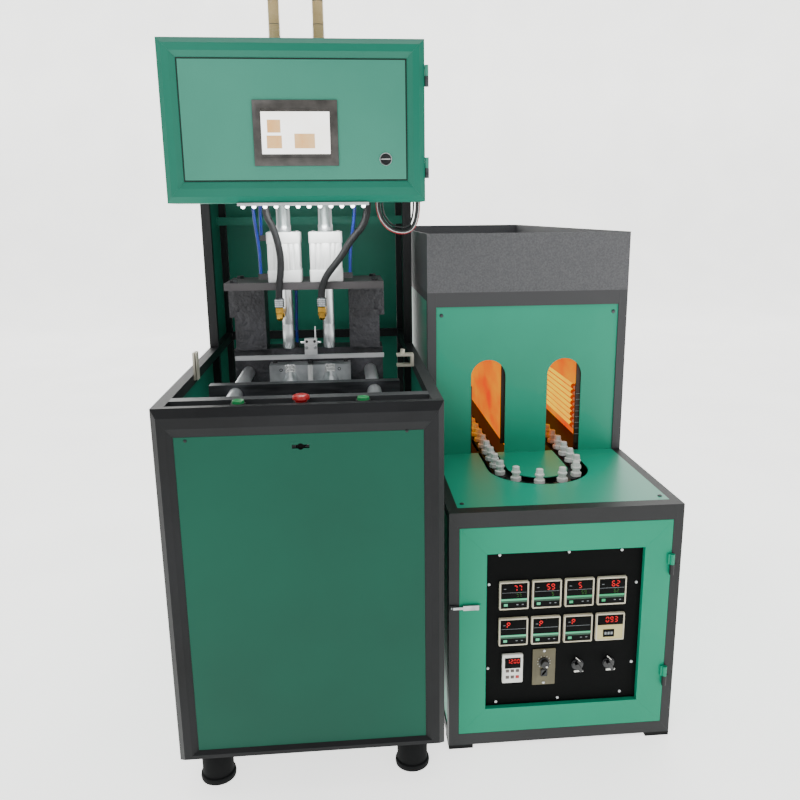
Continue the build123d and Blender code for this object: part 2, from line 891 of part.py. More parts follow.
# Push-in fittings of the air tubes
with BuildPart() as tube_fittings:
    for route, cavity in ((air_a_route, cavity_xs[0]), (air_b_route, cavity_xs[0]),
                          (air_c_route, cavity_xs[1])):
        x, y, z = route_points(route, cavity)[0]
        x0, x1 = (x - fitting_half, cavity - seal_half) if x < cavity else (cavity + seal_half,
                                                                            x + fitting_half)
        block(x0, x1, y - fitting_half, y + fitting_half, z - fitting_height, z)
    points = route_points(air_d_route, cavity_xs[0])
    for (x, y, z), end in ((points[0], gantry_low), (points[-1], fixed_top)):
        block(x - fitting_half, x + fitting_half, y - fitting_half, y + fitting_half, *sorted((z, end)))
finish(tube_fittings.part, "tube_fittings")

# Control box: five walls and the lift-off lugs on its right side
with BuildPart() as control_box_shell:
    x0, x1 = box_left, box_right
    y0, y1 = box_y + bezel_depth, box_back - sheet - seam
    block(x0, x1, box_back - sheet, box_back, box_low, box_high)
    block(x0, x1, y0, y1, box_low, box_low + sheet)
    block(x0, x1, y0, y1, box_high - sheet, box_high)
    for x in (x0, x1 - sheet):
        block(x, x + sheet, y0, y1, box_low + sheet + seam, box_high - sheet - seam)
    for level in lug_levels:
        middle = level + lug_half_height
        for z0, z1 in ((level, middle - seam), (middle, middle + lug_half_height)):
            upright(x1 + lug_radius + seam, front + lug_set, z0, z1, lug_radius)
finish(control_box_shell.part, "control_box_shell")

# Bevelled bezel of the control box
with BuildPart() as control_box_bezel:
    picture_frame(box_left, box_right, box_low, box_high, bezel_side, bezel_top, bezel_bottom, box_y,
                  bezel_depth, bevel_shares)
finish(control_box_bezel.part, "control_box_bezel")

# Control box door with the cut-out for the screen, its left edge rolled round the hinge pin
with BuildPart() as control_door:
    hinge_edge = box_left + bezel_side + door_play + sheet / 2
    z0, z1 = box_low + bezel_bottom + door_play, box_high - bezel_top - door_play
    block(hinge_edge, box_right - bezel_side - door_play, door_y, door_y + sheet, z0, z1)
    upright(hinge_edge, door_y + sheet / 2, z0, z1, sheet / 2)
    sx = mid + screen_side
    w = screen_half - screen_rim + screen_play
    h = screen_half_height - screen_rim + screen_play
    block(sx - w, sx + w, box_y, door_y + sheet + overrun, screen_level - h, screen_level + h,
          Mode.SUBTRACT)
    lying(lock_x, lock_level, box_y, door_y + sheet + overrun, lock_shaft + lock_play, Mode.SUBTRACT)
finish(control_door.part, "control_door")

# Touch screen set in the door
with BuildPart() as touch_screen:
    block(sx - screen_half, sx + screen_half, door_y - screen_proud, door_y,
          screen_level - screen_half_height,
          screen_level + screen_half_height)
    w = screen_half - screen_rim
    h = screen_half_height - screen_rim
    block(sx - w, sx + w, door_y, door_y + screen_body, screen_level - h, screen_level + h)
finish(touch_screen.part, "touch_screen")

# Quarter-turn lock of the door
with BuildPart() as door_lock:
    lying(lock_x, lock_level, door_y - lock_proud, door_y, lock_radius)
    lying(lock_x, lock_level, door_y, door_y + lock_depth, lock_shaft)
    block(lock_x - lock_cam_width / 2, lock_x + lock_cam_width / 2, door_y + lock_depth,
          door_y + lock_depth + lock_cam_depth, lock_level - lock_shaft, lock_level + lock_cam_length)
    block(lock_x - lock_radius, lock_x + lock_radius, door_y - lock_proud - overrun,
          door_y - lock_proud + lock_slot_depth, lock_level - lock_slot_width / 2,
          lock_level + lock_slot_width / 2, Mode.SUBTRACT)
finish(door_lock.part, "door_lock")

# Lamp strip under the front edge of the control box
with BuildPart() as led_strip:
    y0 = front + strip_set
    low = box_low - strip_height
    block(strip_left, strip_right, y0, y0 + strip_depth, low, box_low)
    step = (strip_right - strip_left) / strip_count
    lamp_spots = [(strip_left + (i + 0.5) * step, y0 + strip_depth / 2) for i in range(strip_count)]
    with BuildSketch(Plane(origin=(0, 0, low - lamp_height - seam))) as face:
        with Locations(*lamp_spots):
            RegularPolygon(lamp_radius, 8)
    extrude(face.sketch, amount=lamp_height)
finish(led_strip.part, "led_strip")

# Wiring loop under the right end of the control box
with BuildPart() as wiring_loop:
    tube_run(loop_route, box_right, loop_radius)
finish(wiring_loop.part, "wiring_loop")

# Heater frame tubes, with the keeper and the fixed halves of the door hinges
with BuildPart() as heater_tubes:
    picture_frame(heater_left, right, pad_height, table_top, h_tube, h_front_top, h_front_bottom, heater_y,
                  h_front_depth, flat_shares)
    run = (heater_y + h_front_depth + seam, heater_rear - h_tube - seam)
    oven_run = (oven_y + h_tube + seam, heater_rear - h_tube - seam)
    for x in (heater_left, right - h_tube):
        far = x + h_tube
        block(x, far, *run, h_rail_low, table_top)
        block(x, far, *run, pad_height, h_base_top)
        block(x, far, heater_rear - h_tube, heater_rear, pad_height, table_top)
        block(x, far, oven_y, oven_y + h_tube, table_top + seam, oven_top)
        block(x, far, heater_rear - h_tube, heater_rear, table_top + seam, oven_top)
        block(x, far, *oven_run, oven_top - h_tube, oven_top)
    span = (heater_left + h_tube + seam, right - h_tube - seam)
    for z0, z1 in ((pad_height, h_base_top), (h_rail_low, table_top), (oven_top - h_tube, oven_top)):
        block(*span, heater_rear - h_tube, heater_rear, z0, z1)
    block(*span, oven_y, oven_y + h_tube, oven_top - oven_bar, oven_top)
    block(heater_left + keeper_left, heater_left + keeper_right, heater_y - keeper_thick, heater_y - seam,
          latch_level - latch_half, latch_level + latch_half)
    hinge_x = right - h_tube
    for level in hinge_levels:
        upright(hinge_x, heater_y - hinge_gap, level - hinge_half, level - seam, hinge_radius)
        block(hinge_x, hinge_x + hinge_leaf, heater_y - hinge_gap, heater_y - seam, level - hinge_half,
              level - seam)
finish(heater_tubes.part, "heater_tubes")

# Pads under the heater
with BuildPart() as heater_pads:
    for x in (heater_left, right - pad_size):
        for y in (heater_y, heater_rear - pad_size):
            block(x, x + pad_size, y, y + pad_size, 0, pad_height)
finish(heater_pads.part, "heater_pads")


def racetrack(half, low, high, mode=Mode.ADD):
    """A plate in the shape of the chain loop, as wide as two halves."""
    with BuildSketch(Plane(origin=(lane_mid, (lane_front + lane_rear) / 2, low))) as face:
        SlotCenterToCenter(lane_run, 2 * half, rotation=90)
    extrude(face.sketch, amount=high - low, mode=mode)


# Table sheet with the chain slot, and the island inside it
with BuildPart() as heater_table:
    block(heater_left + h_tube, right - h_tube, heater_y + h_front_depth, heater_rear - h_tube,
          table_top - sheet,
          table_top)
    racetrack(lane_half + slot_half, table_top - sheet - overrun, table_top + overrun, Mode.SUBTRACT)
    racetrack(lane_half - slot_half, table_top - sheet, table_top)
finish(heater_table.part, "heater_table")

# Chain drive: tracks, cross bearers, island posts, beam, sprockets and gear motor
with BuildPart() as chain_drive:
    skin = sheet_inset + sheet + seam
    for y in (front + cross_front, heater_rear - cross_inset):
        block(heater_left + skin, right - skin, y, y + bracket_width, h_rail_low - bracket_height,
              h_rail_low)
        block(lane_mid - post_half, lane_mid + post_half, y, y + bracket_width, h_rail_low + seam,
              table_top - sheet)
    for x in (lane_mid - lane_half, lane_mid + lane_half):
        block(x - track_half, x + track_half, lane_front + seam, lane_rear - seam, h_rail_low + seam,
              track_top)
    beam_top = h_rail_low - bracket_height - seam
    block(lane_mid - chain_beam_half, lane_mid + chain_beam_half, lane_front - chain_beam_half,
          lane_rear + gear_half, beam_top - chain_beam_height, beam_top)
    for y, side in ((lane_front, -1), (lane_rear, 1)):
        with BuildPart() as wheel:
            upright(lane_mid, y, h_rail_low + seam, track_top, lane_half + track_half)
            edge = lane_half + track_half + overrun
            ends = sorted((y - side * edge, y))
            block(lane_mid - edge, lane_mid - lane_half + track_half + seam, *ends, h_rail_low,
                  track_top + overrun,
                  Mode.SUBTRACT)
            block(lane_mid + lane_half - track_half - seam, lane_mid + edge, *ends, h_rail_low,
                  track_top + overrun,
                  Mode.SUBTRACT)
        add(wheel.part)
        upright(lane_mid, y, beam_top + seam, h_rail_low, shaft_radius)
    gear_top = beam_top - chain_beam_height - seam
    block(lane_mid - gear_half, lane_mid + gear_half, lane_rear - gear_half, lane_rear + gear_half,
          gear_top - gear_height, gear_top)
    upright(lane_mid, lane_rear, gear_top - gear_height - motor_height, gear_top - gear_height - seam,
            motor_radius)
finish(chain_drive.part, "chain_drive")

# Places of the chain links round the loop
loop_length = 2 * lane_run + 2 * math.pi * lane_half
holder_count = round(loop_length / holder_pitch)
chain_spots = []
for i in range(holder_count):
    along = i * loop_length / holder_count
    bend = math.pi * lane_half
    if along < lane_run:
        chain_spots.append((lane_mid + lane_half, lane_front + along, 90))
    elif along < lane_run + bend:
        turn = (along - lane_run) / lane_half
        chain_spots.append((lane_mid + lane_half * math.cos(turn), lane_rear + lane_half * math.sin(turn),
                            90 + math.degrees(turn)))
    elif along < 2 * lane_run + bend:
        chain_spots.append((lane_mid - lane_half, lane_rear - (along - lane_run - bend), 90))
    else:
        turn = math.pi + (along - 2 * lane_run - bend) / lane_half
        chain_spots.append((lane_mid + lane_half * math.cos(turn), lane_front + lane_half * math.sin(turn),
                            90 + math.degrees(turn)))

# Chain links
with BuildPart() as chain_links:
    with BuildSketch(Plane(origin=(0, 0, track_top))) as face:
        for x, y, angle in chain_spots:
            with Locations(Location((x, y, 0), angle)):
                Rectangle(link_share * holder_pitch, chain_width)
    extrude(face.sketch, amount=chain_height)
finish(chain_links.part, "chain_links")

# Preform holders, a base and a neck each
with BuildPart() as preform_holders:
    base_high = table_top + holder_base
    spots = [(x, y) for x, y, angle in chain_spots]
    with BuildSketch(Plane(origin=(0, 0, chain_top))) as face:
        with Locations(*spots):
            RegularPolygon(holder_radius, 6)
    extrude(face.sketch, amount=base_high - chain_top)
    with BuildSketch(Plane(origin=(0, 0, base_high + seam))) as face:
        with Locations(*spots):
            RegularPolygon(holder_neck_radius, 6)
    extrude(face.sketch, amount=holder_neck, taper=holder_taper)
finish(preform_holders.part, "preform_holders")

# Oven front sheet with an arch over each lane: three strips and the lintel over them
with BuildPart() as oven_front_panel:
    y0 = oven_y + sheet_inset
    arches = (lane_mid - lane_half, lane_mid + lane_half)
    spring = arch_top - arch_half
    for x0, x1 in ((heater_left + h_tube, arches[0] - arch_half),
                   (arches[0] + arch_half, arches[1] - arch_half),
                   (arches[1] + arch_half, right - h_tube)):
        block(x0, x1, y0, y0 + sheet, table_top, spring - seam)
    block(heater_left + h_tube, right - h_tube, y0, y0 + sheet, spring, oven_top - oven_bar)
    for x in arches:
        lying(x, spring, y0 - overrun, y0 + sheet + overrun, arch_half, Mode.SUBTRACT)
finish(oven_front_panel.part, "oven_front_panel")

# Side and rear sheets of the heater
with BuildPart() as heater_panels:
    run = (heater_y + h_front_depth + seam, heater_rear - h_tube - seam)
    oven_run = (oven_y + h_tube + seam, heater_rear - h_tube - seam)
    for x in (heater_left + sheet_inset, right - sheet_inset - sheet):
        block(x, x + sheet, *run, h_base_top + seam, h_rail_low - seam)
        block(x, x + sheet, *oven_run, table_top + seam, oven_top - h_tube - seam)
    back = heater_rear - sheet_inset
    span = (heater_left + h_tube + seam, right - h_tube - seam)
    block(*span, back - sheet, back, h_base_top + seam, h_rail_low - seam)
    block(*span, back - sheet, back, table_top + seam, oven_top - h_tube - seam)
finish(heater_panels.part, "heater_panels")

# Open-topped hood: a floor and four walls
with BuildPart() as hood:
    y0, y1 = oven_y, heater_rear
    block(heater_left, right, y0, y1, oven_top, oven_top + hood_wall)
    low = oven_top + hood_wall + seam
    block(heater_left, right, y0, y0 + hood_wall, low, hood_top)
    block(heater_left, right, y1 - hood_wall, y1, low, hood_top)
    for x in (heater_left, right - hood_wall):
        block(x, x + hood_wall, y0 + hood_wall + seam, y1 - hood_wall - seam, low, hood_top)
finish(hood.part, "hood")

# Lamp brackets, standing on the table at both ends and in the middle of each bank
bank_middle = (bank_front + bank_rear) / 2
bank_sets = (bank_front - bank_plate, bank_middle - bank_plate / 2, bank_rear)
with BuildPart() as lamp_brackets:
    for x in (lane_mid - lamp_half, lane_mid + lamp_half):
        for offset in bank_sets:
            block(x - bank_half, x + bank_half, front + offset, front + offset + bank_plate, table_top,
                  bank_top)
finish(lamp_brackets.part, "lamp_brackets")

# Quartz lamps
with BuildPart() as lamp_tubes:
    spots = [(lane_mid + side * lamp_half, lamp_first + i * lamp_pitch) for side in (-1, 1)
             for i in range(lamp_count)]
    for y0, y1 in ((bank_front, bank_sets[1]), (bank_sets[1] + bank_plate, bank_rear)):
        with BuildSketch(Plane(origin=(0, front + y1, 0), x_dir=(1, 0, 0), z_dir=(0, -1, 0))) as face:
            with Locations(*spots):
                RegularPolygon(lamp_tube, 8)
        extrude(face.sketch, amount=y1 - y0)
finish(lamp_tubes.part, "lamp_tubes")

# Reflectors in the middle of the oven and behind the lamps
with BuildPart() as reflectors:
    for half, end in ((mirror_outer, bank_rear), (mirror_inner, mirror_rear)):
        for x in (lane_mid - half, lane_mid + half):
            block(x - sheet / 2, x + sheet / 2, front + bank_front, front + end, table_top, mirror_top)
finish(reflectors.part, "reflectors")

# Heater door frame, with the base of its latch and its halves of the hinges
with BuildPart() as heater_door:
    picture_frame(h_door_left, h_door_right, h_door_low, h_door_high, h_door_side, h_door_top,
                  h_door_bottom,
                  heater_y, h_door_depth, flat_shares)
    block(heater_left + latch_base_left, heater_left + latch_base_right, heater_y - latch_base_thick,
          heater_y - seam, latch_level - latch_half, latch_level + latch_half)
    for level in hinge_levels:
        upright(hinge_x, heater_y - hinge_gap, level + seam, level + hinge_half, hinge_radius)
        block(hinge_x - hinge_leaf, hinge_x, heater_y - hinge_gap, heater_y - seam, level + seam,
              level + hinge_half)
finish(heater_door.part, "heater_door")

# Recessed control panel of the door
panel_back = control_y + control_thick
with BuildPart() as control_panel:
    block(control_left, control_right, control_y, panel_back, control_low, control_high)
    w = meter_width / 2 - meter_rim + meter_play
    h = meter_height / 2 - meter_rim + meter_play
    for x, z in meter_places + [(meter_xs[3], meter_rows[1])]:
        block(x - w, x + w, control_y - overrun, panel_back + overrun, z - h, z + h, Mode.SUBTRACT)
finish(control_panel.part, "control_panel")


def panel_meter(x, z):
    """A square instrument: its bezel in front of the panel and its body through the cut-out."""
    w, h = meter_width / 2, meter_height / 2
    block(x - w, x + w, control_y - meter_proud, control_y, z - h, z + h)
    w, h = w - meter_rim, h - meter_rim
    block(x - w, x + w, control_y, panel_back + meter_body, z - h, z + h)


# Temperature meters
with BuildPart() as temperature_meters:
    for x, z in meter_places:
        panel_meter(x, z)
finish(temperature_meters.part, "temperature_meters")

# Timer
with BuildPart() as panel_timer:
    panel_meter(meter_xs[3], meter_rows[1])
finish(panel_timer.part, "panel_timer")

# Keypad and speed plate
with BuildPart() as panel_devices:
    for side, level, width, height, thick in (
            (keypad_side, keypad_level, keypad_width, keypad_height, keypad_thick),
            (speed_side, speed_level, speed_width, speed_height, speed_thick)):
        x = lane_mid + side
        block(x - width / 2, x + width / 2, control_y - thick, control_y, level - height / 2,
              level + height / 2)
finish(panel_devices.part, "panel_devices")

# Speed knob
with BuildPart() as speed_knob:
    y1 = control_y - speed_thick - knob_play
    lying(lane_mid + speed_side, speed_level + knob_rise, y1 - knob_height, y1, knob_radius)
finish(speed_knob.part, "speed_knob")


def selector(x):
    """A rotary selector: a round skirt with a grip bar across it."""
    y1 = control_y - knob_play
    lying(x, selector_level, y1 - selector_skirt, y1, selector_radius)
    block(x - selector_grip, x + selector_grip, y1 - selector_height, y1 - selector_skirt,
          selector_level - selector_radius + selector_grip, selector_level + selector_radius - selector_grip)


with BuildPart() as selector_left:
    selector(lane_mid + selector_sides[0])
finish(selector_left.part, "selector_left")

with BuildPart() as selector_right:
    selector(lane_mid + selector_sides[1])
finish(selector_right.part, "selector_right")

# Screws of the control panel
with BuildPart() as panel_screws:
    with BuildSketch(Plane(origin=(0, control_y, 0), x_dir=(1, 0, 0), z_dir=(0, -1, 0))) as face:
        with Locations(*[(lane_mid + x, z) for x, z in screw_sides]):
            RegularPolygon(control_screw, 8)
    extrude(face.sketch, amount=control_screw_height)
finish(panel_screws.part, "panel_screws")

# Lever of the draw latch with its round pivot end and hook arm
with BuildPart() as latch_lever:
    x1 = heater_left + latch_pivot
    x0 = x1 - latch_reach
    y1 = heater_y - latch_base_thick - knob_play
    y0 = y1 - latch_thick
    block(x0, x1, y0, y1, latch_level - latch_half, latch_level + latch_half)
    upright(x1, (y0 + y1) / 2, latch_level - latch_half, latch_level + latch_half, latch_thick / 2)
    block(x0 - latch_arm, x0, y0, y0 + latch_arm_thick, latch_level - latch_half / 2,
          latch_level + latch_half / 2)
finish(latch_lever.part, "latch_lever")
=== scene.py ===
import math
import bmesh
import bpy
from mathutils import Matrix, Vector


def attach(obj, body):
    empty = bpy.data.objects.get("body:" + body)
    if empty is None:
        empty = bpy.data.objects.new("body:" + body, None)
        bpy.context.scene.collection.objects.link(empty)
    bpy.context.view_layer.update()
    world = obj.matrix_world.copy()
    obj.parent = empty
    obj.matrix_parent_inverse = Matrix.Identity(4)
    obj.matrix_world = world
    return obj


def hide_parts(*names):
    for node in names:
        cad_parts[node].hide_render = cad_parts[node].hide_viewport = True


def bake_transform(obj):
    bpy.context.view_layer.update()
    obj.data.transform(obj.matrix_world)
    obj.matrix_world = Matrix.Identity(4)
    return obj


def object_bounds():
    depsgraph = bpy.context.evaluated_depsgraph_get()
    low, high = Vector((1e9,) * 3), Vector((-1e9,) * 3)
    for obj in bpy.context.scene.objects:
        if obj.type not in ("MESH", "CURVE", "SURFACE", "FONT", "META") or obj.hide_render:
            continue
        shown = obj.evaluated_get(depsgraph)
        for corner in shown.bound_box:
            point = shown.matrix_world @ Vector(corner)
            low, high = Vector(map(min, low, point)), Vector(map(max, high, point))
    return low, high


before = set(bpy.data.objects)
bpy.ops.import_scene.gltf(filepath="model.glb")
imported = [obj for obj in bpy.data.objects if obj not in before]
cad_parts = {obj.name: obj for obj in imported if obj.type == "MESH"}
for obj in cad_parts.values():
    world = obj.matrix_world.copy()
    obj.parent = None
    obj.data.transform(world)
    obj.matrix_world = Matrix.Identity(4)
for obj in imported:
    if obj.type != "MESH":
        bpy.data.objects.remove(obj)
cad_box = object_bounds()

# Blower frame
# Four bevelled bars form the front picture frame, and square steel tubes carry cabinet and tower.
# Both are welded and powder coated in a charcoal grey with a coarse texture, the tubes a little lighter.


def spot(x, y, z):
    """A place in metres, from millimetres right of the blower's left side, back from its front and up."""
    left_side, front, ground = cad_box[0]
    return Vector((x / 1000 + left_side, y / 1000 + front, z / 1000 + ground))


def tone(code):
    """A paint chart's colour code as linear light."""
    parts = [int(code[i:i + 2], 16) / 255 for i in (0, 2, 4)]
    return [p / 12.92 if p <= 0.04045 else ((p + 0.055) / 1.055) ** 2.4 for p in parts]


def surface(name, dark, light, rough, patch=4.0, grain=900.0, relief=0.0, metal=0.0, stretch=(1, 1, 1),
            depth=0.6, shine=0.5):
    """A paint, plastic or metal with cloudy colour, uneven gloss and a relief, its depth in millimetres."""
    made = bpy.data.materials.new(name)
    made.use_nodes = True
    nodes = made.node_tree.nodes
    links = made.node_tree.links
    shader = nodes["Principled BSDF"]
    shader.inputs["Metallic"].default_value = metal
    shader.inputs["Specular IOR Level"].default_value = shine
    place = nodes.new("ShaderNodeTexCoord")
    drawn = nodes.new("ShaderNodeMapping")
    drawn.inputs["Scale"].default_value = stretch
    links.new(place.outputs["Object"], drawn.inputs["Vector"])
    cloud = nodes.new("ShaderNodeTexNoise")
    cloud.inputs["Scale"].default_value = patch
    cloud.inputs["Detail"].default_value = 6
    links.new(drawn.outputs["Vector"], cloud.inputs["Vector"])
    ramp = nodes.new("ShaderNodeValToRGB")
    ramp.color_ramp.elements[0].position = 0.32
    ramp.color_ramp.elements[0].color = (*tone(dark), 1)
    ramp.color_ramp.elements[1].position = 0.68
    ramp.color_ramp.elements[1].color = (*tone(light), 1)
    links.new(cloud.outputs["Fac"], ramp.inputs["Fac"])
    links.new(ramp.outputs["Color"], shader.inputs["Base Color"])
    uneven = 0.06
    gloss = nodes.new("ShaderNodeMapRange")
    gloss.inputs["To Min"].default_value = rough - uneven
    gloss.inputs["To Max"].default_value = rough + uneven
    links.new(cloud.outputs["Fac"], gloss.inputs["Value"])
    links.new(gloss.outputs["Result"], shader.inputs["Roughness"])
    if relief:
        fine = nodes.new("ShaderNodeTexNoise")
        fine.inputs["Scale"].default_value = grain
        links.new(drawn.outputs["Vector"], fine.inputs["Vector"])
        bump = nodes.new("ShaderNodeBump")
        bump.inputs["Strength"].default_value = relief
        bump.inputs["Distance"].default_value = depth / 1000
        links.new(fine.outputs["Fac"], bump.inputs["Height"])
        links.new(bump.outputs["Normal"], shader.inputs["Normal"])
    return made


def dress(material, *names):
    """Give CAD nodes their material."""
    for name in names:
        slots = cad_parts[name].data.materials
        slots.clear()
        slots.append(material)


charcoal = surface("charcoal_coat", "121314", "1D1E20", 0.42, grain=420, relief=0.4, shine=0.16)
dress(charcoal, "blower_front_frame")
tube_coat = surface("tube_coat", "161718", "212224", 0.5, grain=420, relief=0.4, shine=0.3)
dress(tube_coat, "blower_tubes")

# Levelling feet
# Four tall black rubber feet with a wider rim, each on a threaded stem with a lock nut inside it.
# The stems are blackened and screw into the cross tubes.
crease = math.radians(35)


def turned(rings, place, turn=(0, 0, 0), steps=32):
    """A turned piece: a disc drawn out by rings of radius and height in millimetres, then set in place."""
    bpy.ops.object.select_all(action="DESELECT")
    radius, height = rings[0]
    bpy.ops.mesh.primitive_circle_add(vertices=steps, radius=radius / 1000, fill_type="NGON",
                                      location=(0, 0, 0))
    piece = bpy.context.object
    bpy.ops.object.mode_set(mode="EDIT")
    bpy.ops.mesh.select_all(action="SELECT")
    bpy.ops.transform.translate(value=(0, 0, height / 1000))
    for wide, high in rings[1:]:
        bpy.ops.mesh.extrude_region_move(TRANSFORM_OT_translate={"value": (0, 0, (high - height) / 1000)})
        bpy.ops.transform.resize(value=(wide / radius, wide / radius, 1), center_override=(0, 0, high / 1000))
        radius, height = wide, high
    bpy.ops.mesh.select_all(action="SELECT")
    bpy.ops.mesh.normals_make_consistent(inside=False)
    bpy.ops.object.mode_set(mode="OBJECT")
    piece.location = place
    piece.rotation_euler = turn
    bpy.ops.object.transform_apply(location=True, rotation=True, scale=True)
    bpy.ops.object.shade_smooth_by_angle(angle=crease)
    return piece


def copies(piece, shifts):
    """The piece and its copies, each with its own mesh, moved by millimetres."""
    made = [piece]
    for shift in shifts:
        twin = piece.copy()
        twin.data = piece.data.copy()
        twin.data.transform(Matrix.Translation(Vector(shift) / 1000))
        bpy.context.collection.objects.link(twin)
        made.append(twin)
    return made


def gather(name, body, material, pieces):
    """Join pieces into one, dress it and let it move with its body."""
    bpy.ops.object.select_all(action="DESELECT")
    for piece in pieces:
        piece.select_set(True)
    bpy.context.view_layer.objects.active = pieces[0]
    if len(pieces) > 1:
        bpy.ops.object.join()
    whole = bpy.context.object
    whole.name = name
    whole.data.name = name
    whole.data.materials.clear()
    whole.data.materials.append(material)
    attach(whole, body)
    return whole


foot_rubber = surface("foot_rubber", "0C0D0E", "161718", 0.75, grain=600, relief=0.4, shine=0.12)
stem_black = surface("stem_black", "1E1F21", "303234", 0.4, patch=30, metal=0.6)
foot_shifts = [(460, 0, 0), (0, 944, 0), (460, 944, 0)]
foot_place = spot(70, 78, 0)
pad = turned([(36, 0), (40, 3), (41, 10), (40, 16), (36.5, 19), (36, 22), (36, 88), (34, 92), (14, 92)],
             foot_place)
pads = gather("foot_pads", "machine", foot_rubber, copies(pad, foot_shifts))
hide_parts("blower_feet")
thread = [(11, 30)]
thread_pitch = 4
for step in range(12):
    ridge = 35 + step * thread_pitch
    thread += [(12, ridge), (10.8, ridge + thread_pitch / 2)]
stem = turned(thread + [(12, 86), (12, 98)], foot_place, steps=20)
nut = turned([(17, 76), (20, 78), (20, 92), (17, 94)], foot_place, steps=6)
gather("foot_stems", "machine", stem_black,
       copies(stem, foot_shifts) + copies(nut, foot_shifts))

# Blower sheets
# Folded steel sheets close the cabinet and the tower, painted in a satin sea green with a light texture; the
# front sheet is darker, partly its paint and partly painted shade.
# Two small screws hold the front sheet on a black gasket, and a cam lock sits in its key slot.


def pick(piece, kind, test):
    """Select the edges or faces of a piece in edit mode that pass a test, and nothing else."""
    bpy.ops.mesh.select_mode(type=kind)
    bpy.ops.mesh.select_all(action="DESELECT")
    mesh = bmesh.from_edit_mesh(piece.data)
    for part in mesh.edges if kind == "EDGE" else mesh.faces:
        part.select_set(test(part))
    mesh.select_flush_mode()
    bmesh.update_edit_mesh(piece.data)


def easedged(low, high, edge, corner=0.0, way=2):
    """A block between two corners in millimetres: four edges along one way rounded, then all edges eased."""
    low, high = spot(*low), spot(*high)
    bpy.ops.object.select_all(action="DESELECT")
    bpy.ops.mesh.primitive_cube_add(size=1, location=(low + high) / 2)
    piece = bpy.context.object
    piece.scale = high - low
    bpy.ops.object.transform_apply(location=True, rotation=True, scale=True)
    bpy.ops.object.mode_set(mode="EDIT")
    if corner:
        pick(piece, "EDGE", lambda line: abs((line.verts[0].co - line.verts[1].co).normalized()[way]) > 0.99)
        bpy.ops.mesh.bevel(offset=corner / 1000, segments=4, affect="EDGES")
    pick(piece, "EDGE", lambda line: line.calc_face_angle(0) > 0.7)
    bpy.ops.mesh.bevel(offset=edge / 1000, segments=2, affect="EDGES")
    bpy.ops.mesh.select_mode(type="VERT")
    bpy.ops.mesh.select_all(action="DESELECT")
    bpy.ops.object.mode_set(mode="OBJECT")
    bpy.ops.object.shade_smooth_by_angle(angle=crease)
    return piece


# The front sheet's green is darker than the tower's, partly its own paint and partly painted shade, as the
# front gets less light.
front_green_and_shade = surface("front_green_and_shade", "004534", "02513E", 0.5, patch=1.6, grain=500, relief=0.12, shine=0.2)
dress(front_green_and_shade, "front_panel")
tower_green = surface("tower_green", "14705C", "1C806A", 0.45, patch=2.2, grain=500, relief=0.12, shine=0.4)
dress(tower_green, "blower_panels")
to_front = (math.pi / 2, 0, 0)
screw = turned([(3.4, 0), (3.4, 0.7), (2.8, 1.5), (1.2, 1.9)], spot(67, 8, 845), to_front, 20)
gather("front_panel_screws", "machine", stem_black, copies(screw, [(454, 0, 6)]))
keyhole_black = surface("keyhole_black", "040505", "080909", 0.6, patch=20, shine=0.05)
cam = turned([(9, 0), (9, 12), (6, 12), (5.5, 10.5)], spot(300, 22, 825), to_front, 24)
gather("front_panel_lock", "machine", keyhole_black, [cam])
gasket_wide = 12
gasket_front, gasket_back = 10.1, 13.1
gasket = [easedged((x, gasket_front, 122.1), (x + gasket_wide, gasket_back, 852.9), 0.4)
          for x in (43.1, 544.9)]
gasket += [easedged((55.3, gasket_front, z), (544.7, gasket_back, z + gasket_wide), 0.4)
           for z in (122.1, 840.9)]
gather("front_panel_gasket", "machine", keyhole_black, gasket)

# Button channel
# A bent black sheet behind the frame's top bar holds three push buttons in a row.
# Two flush green caps start the clamp with both hands, and a red mushroom head stops it.
black_satin = surface("black_satin", "2A2C2E", "3A3C3E", 0.42, grain=500, relief=0.25)
black_plastic = surface("black_plastic", "0E0F10", "191A1B", 0.4, patch=20)
dress(black_satin, "button_channel")
dress(black_plastic, "button_bodies")
green_cap = surface("green_cap", "0A7A3A", "139450", 0.3, patch=25)
red_cap = surface("red_cap", "9C0008", "B8060C", 0.3, patch=25)
button_y = 53
for side, middle in (("left", 172), ("right", 433)):
    cap = turned([(12.8, 900.2), (12.8, 914.6), (12.2, 916.6), (11, 917.5), (9.5, 916.8), (4, 916.2)],
                 spot(middle, button_y, 0))
    cap = gather("start_cap_" + side, "start_" + side, green_cap, [cap])
    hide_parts("start_button_" + side)
head = turned([(12.8, 900.2), (12.8, 915.2), (16.8, 915.2), (18, 916.4), (18, 921), (16.8, 923.8),
               (13, 925.6), (7, 926.2)], spot(302.5, button_y, 0), steps=40)
head = gather("stop_cap", "stop", red_cap, [head])
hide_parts("stop_button")

# Clamp unit
# Cast end plate and bed beams, chromed tie bars, and a cylinder that pushes the moving platen.
# The platens are machined steel plates with a dark oiled skin.
dark_cast = surface("dark_cast", "2A2A2D", "424247", 0.5, patch=14, grain=75, relief=1.0, depth=5)
oiled_steel = surface("oiled_steel", "3B3D40", "55585B", 0.38, patch=12, metal=0.8, stretch=(1, 1, 8))
chrome = surface("chrome", "D6D9DB", "ECEEF0", 0.34, patch=8, metal=0.92, stretch=(1, 1, 0.2))
aluminium = surface("aluminium", "B4B7B9", "D0D3D5", 0.34, patch=30, metal=0.85, stretch=(6, 6, 1))
dress(dark_cast, "clamp_bed", "fixed_platen")
dress(chrome, "tie_bars", "clamp_rod", "stretch_rod_left", "stretch_rod_right")
dress(aluminium, "clamp_cylinder")
dress(oiled_steel, "moving_platen")

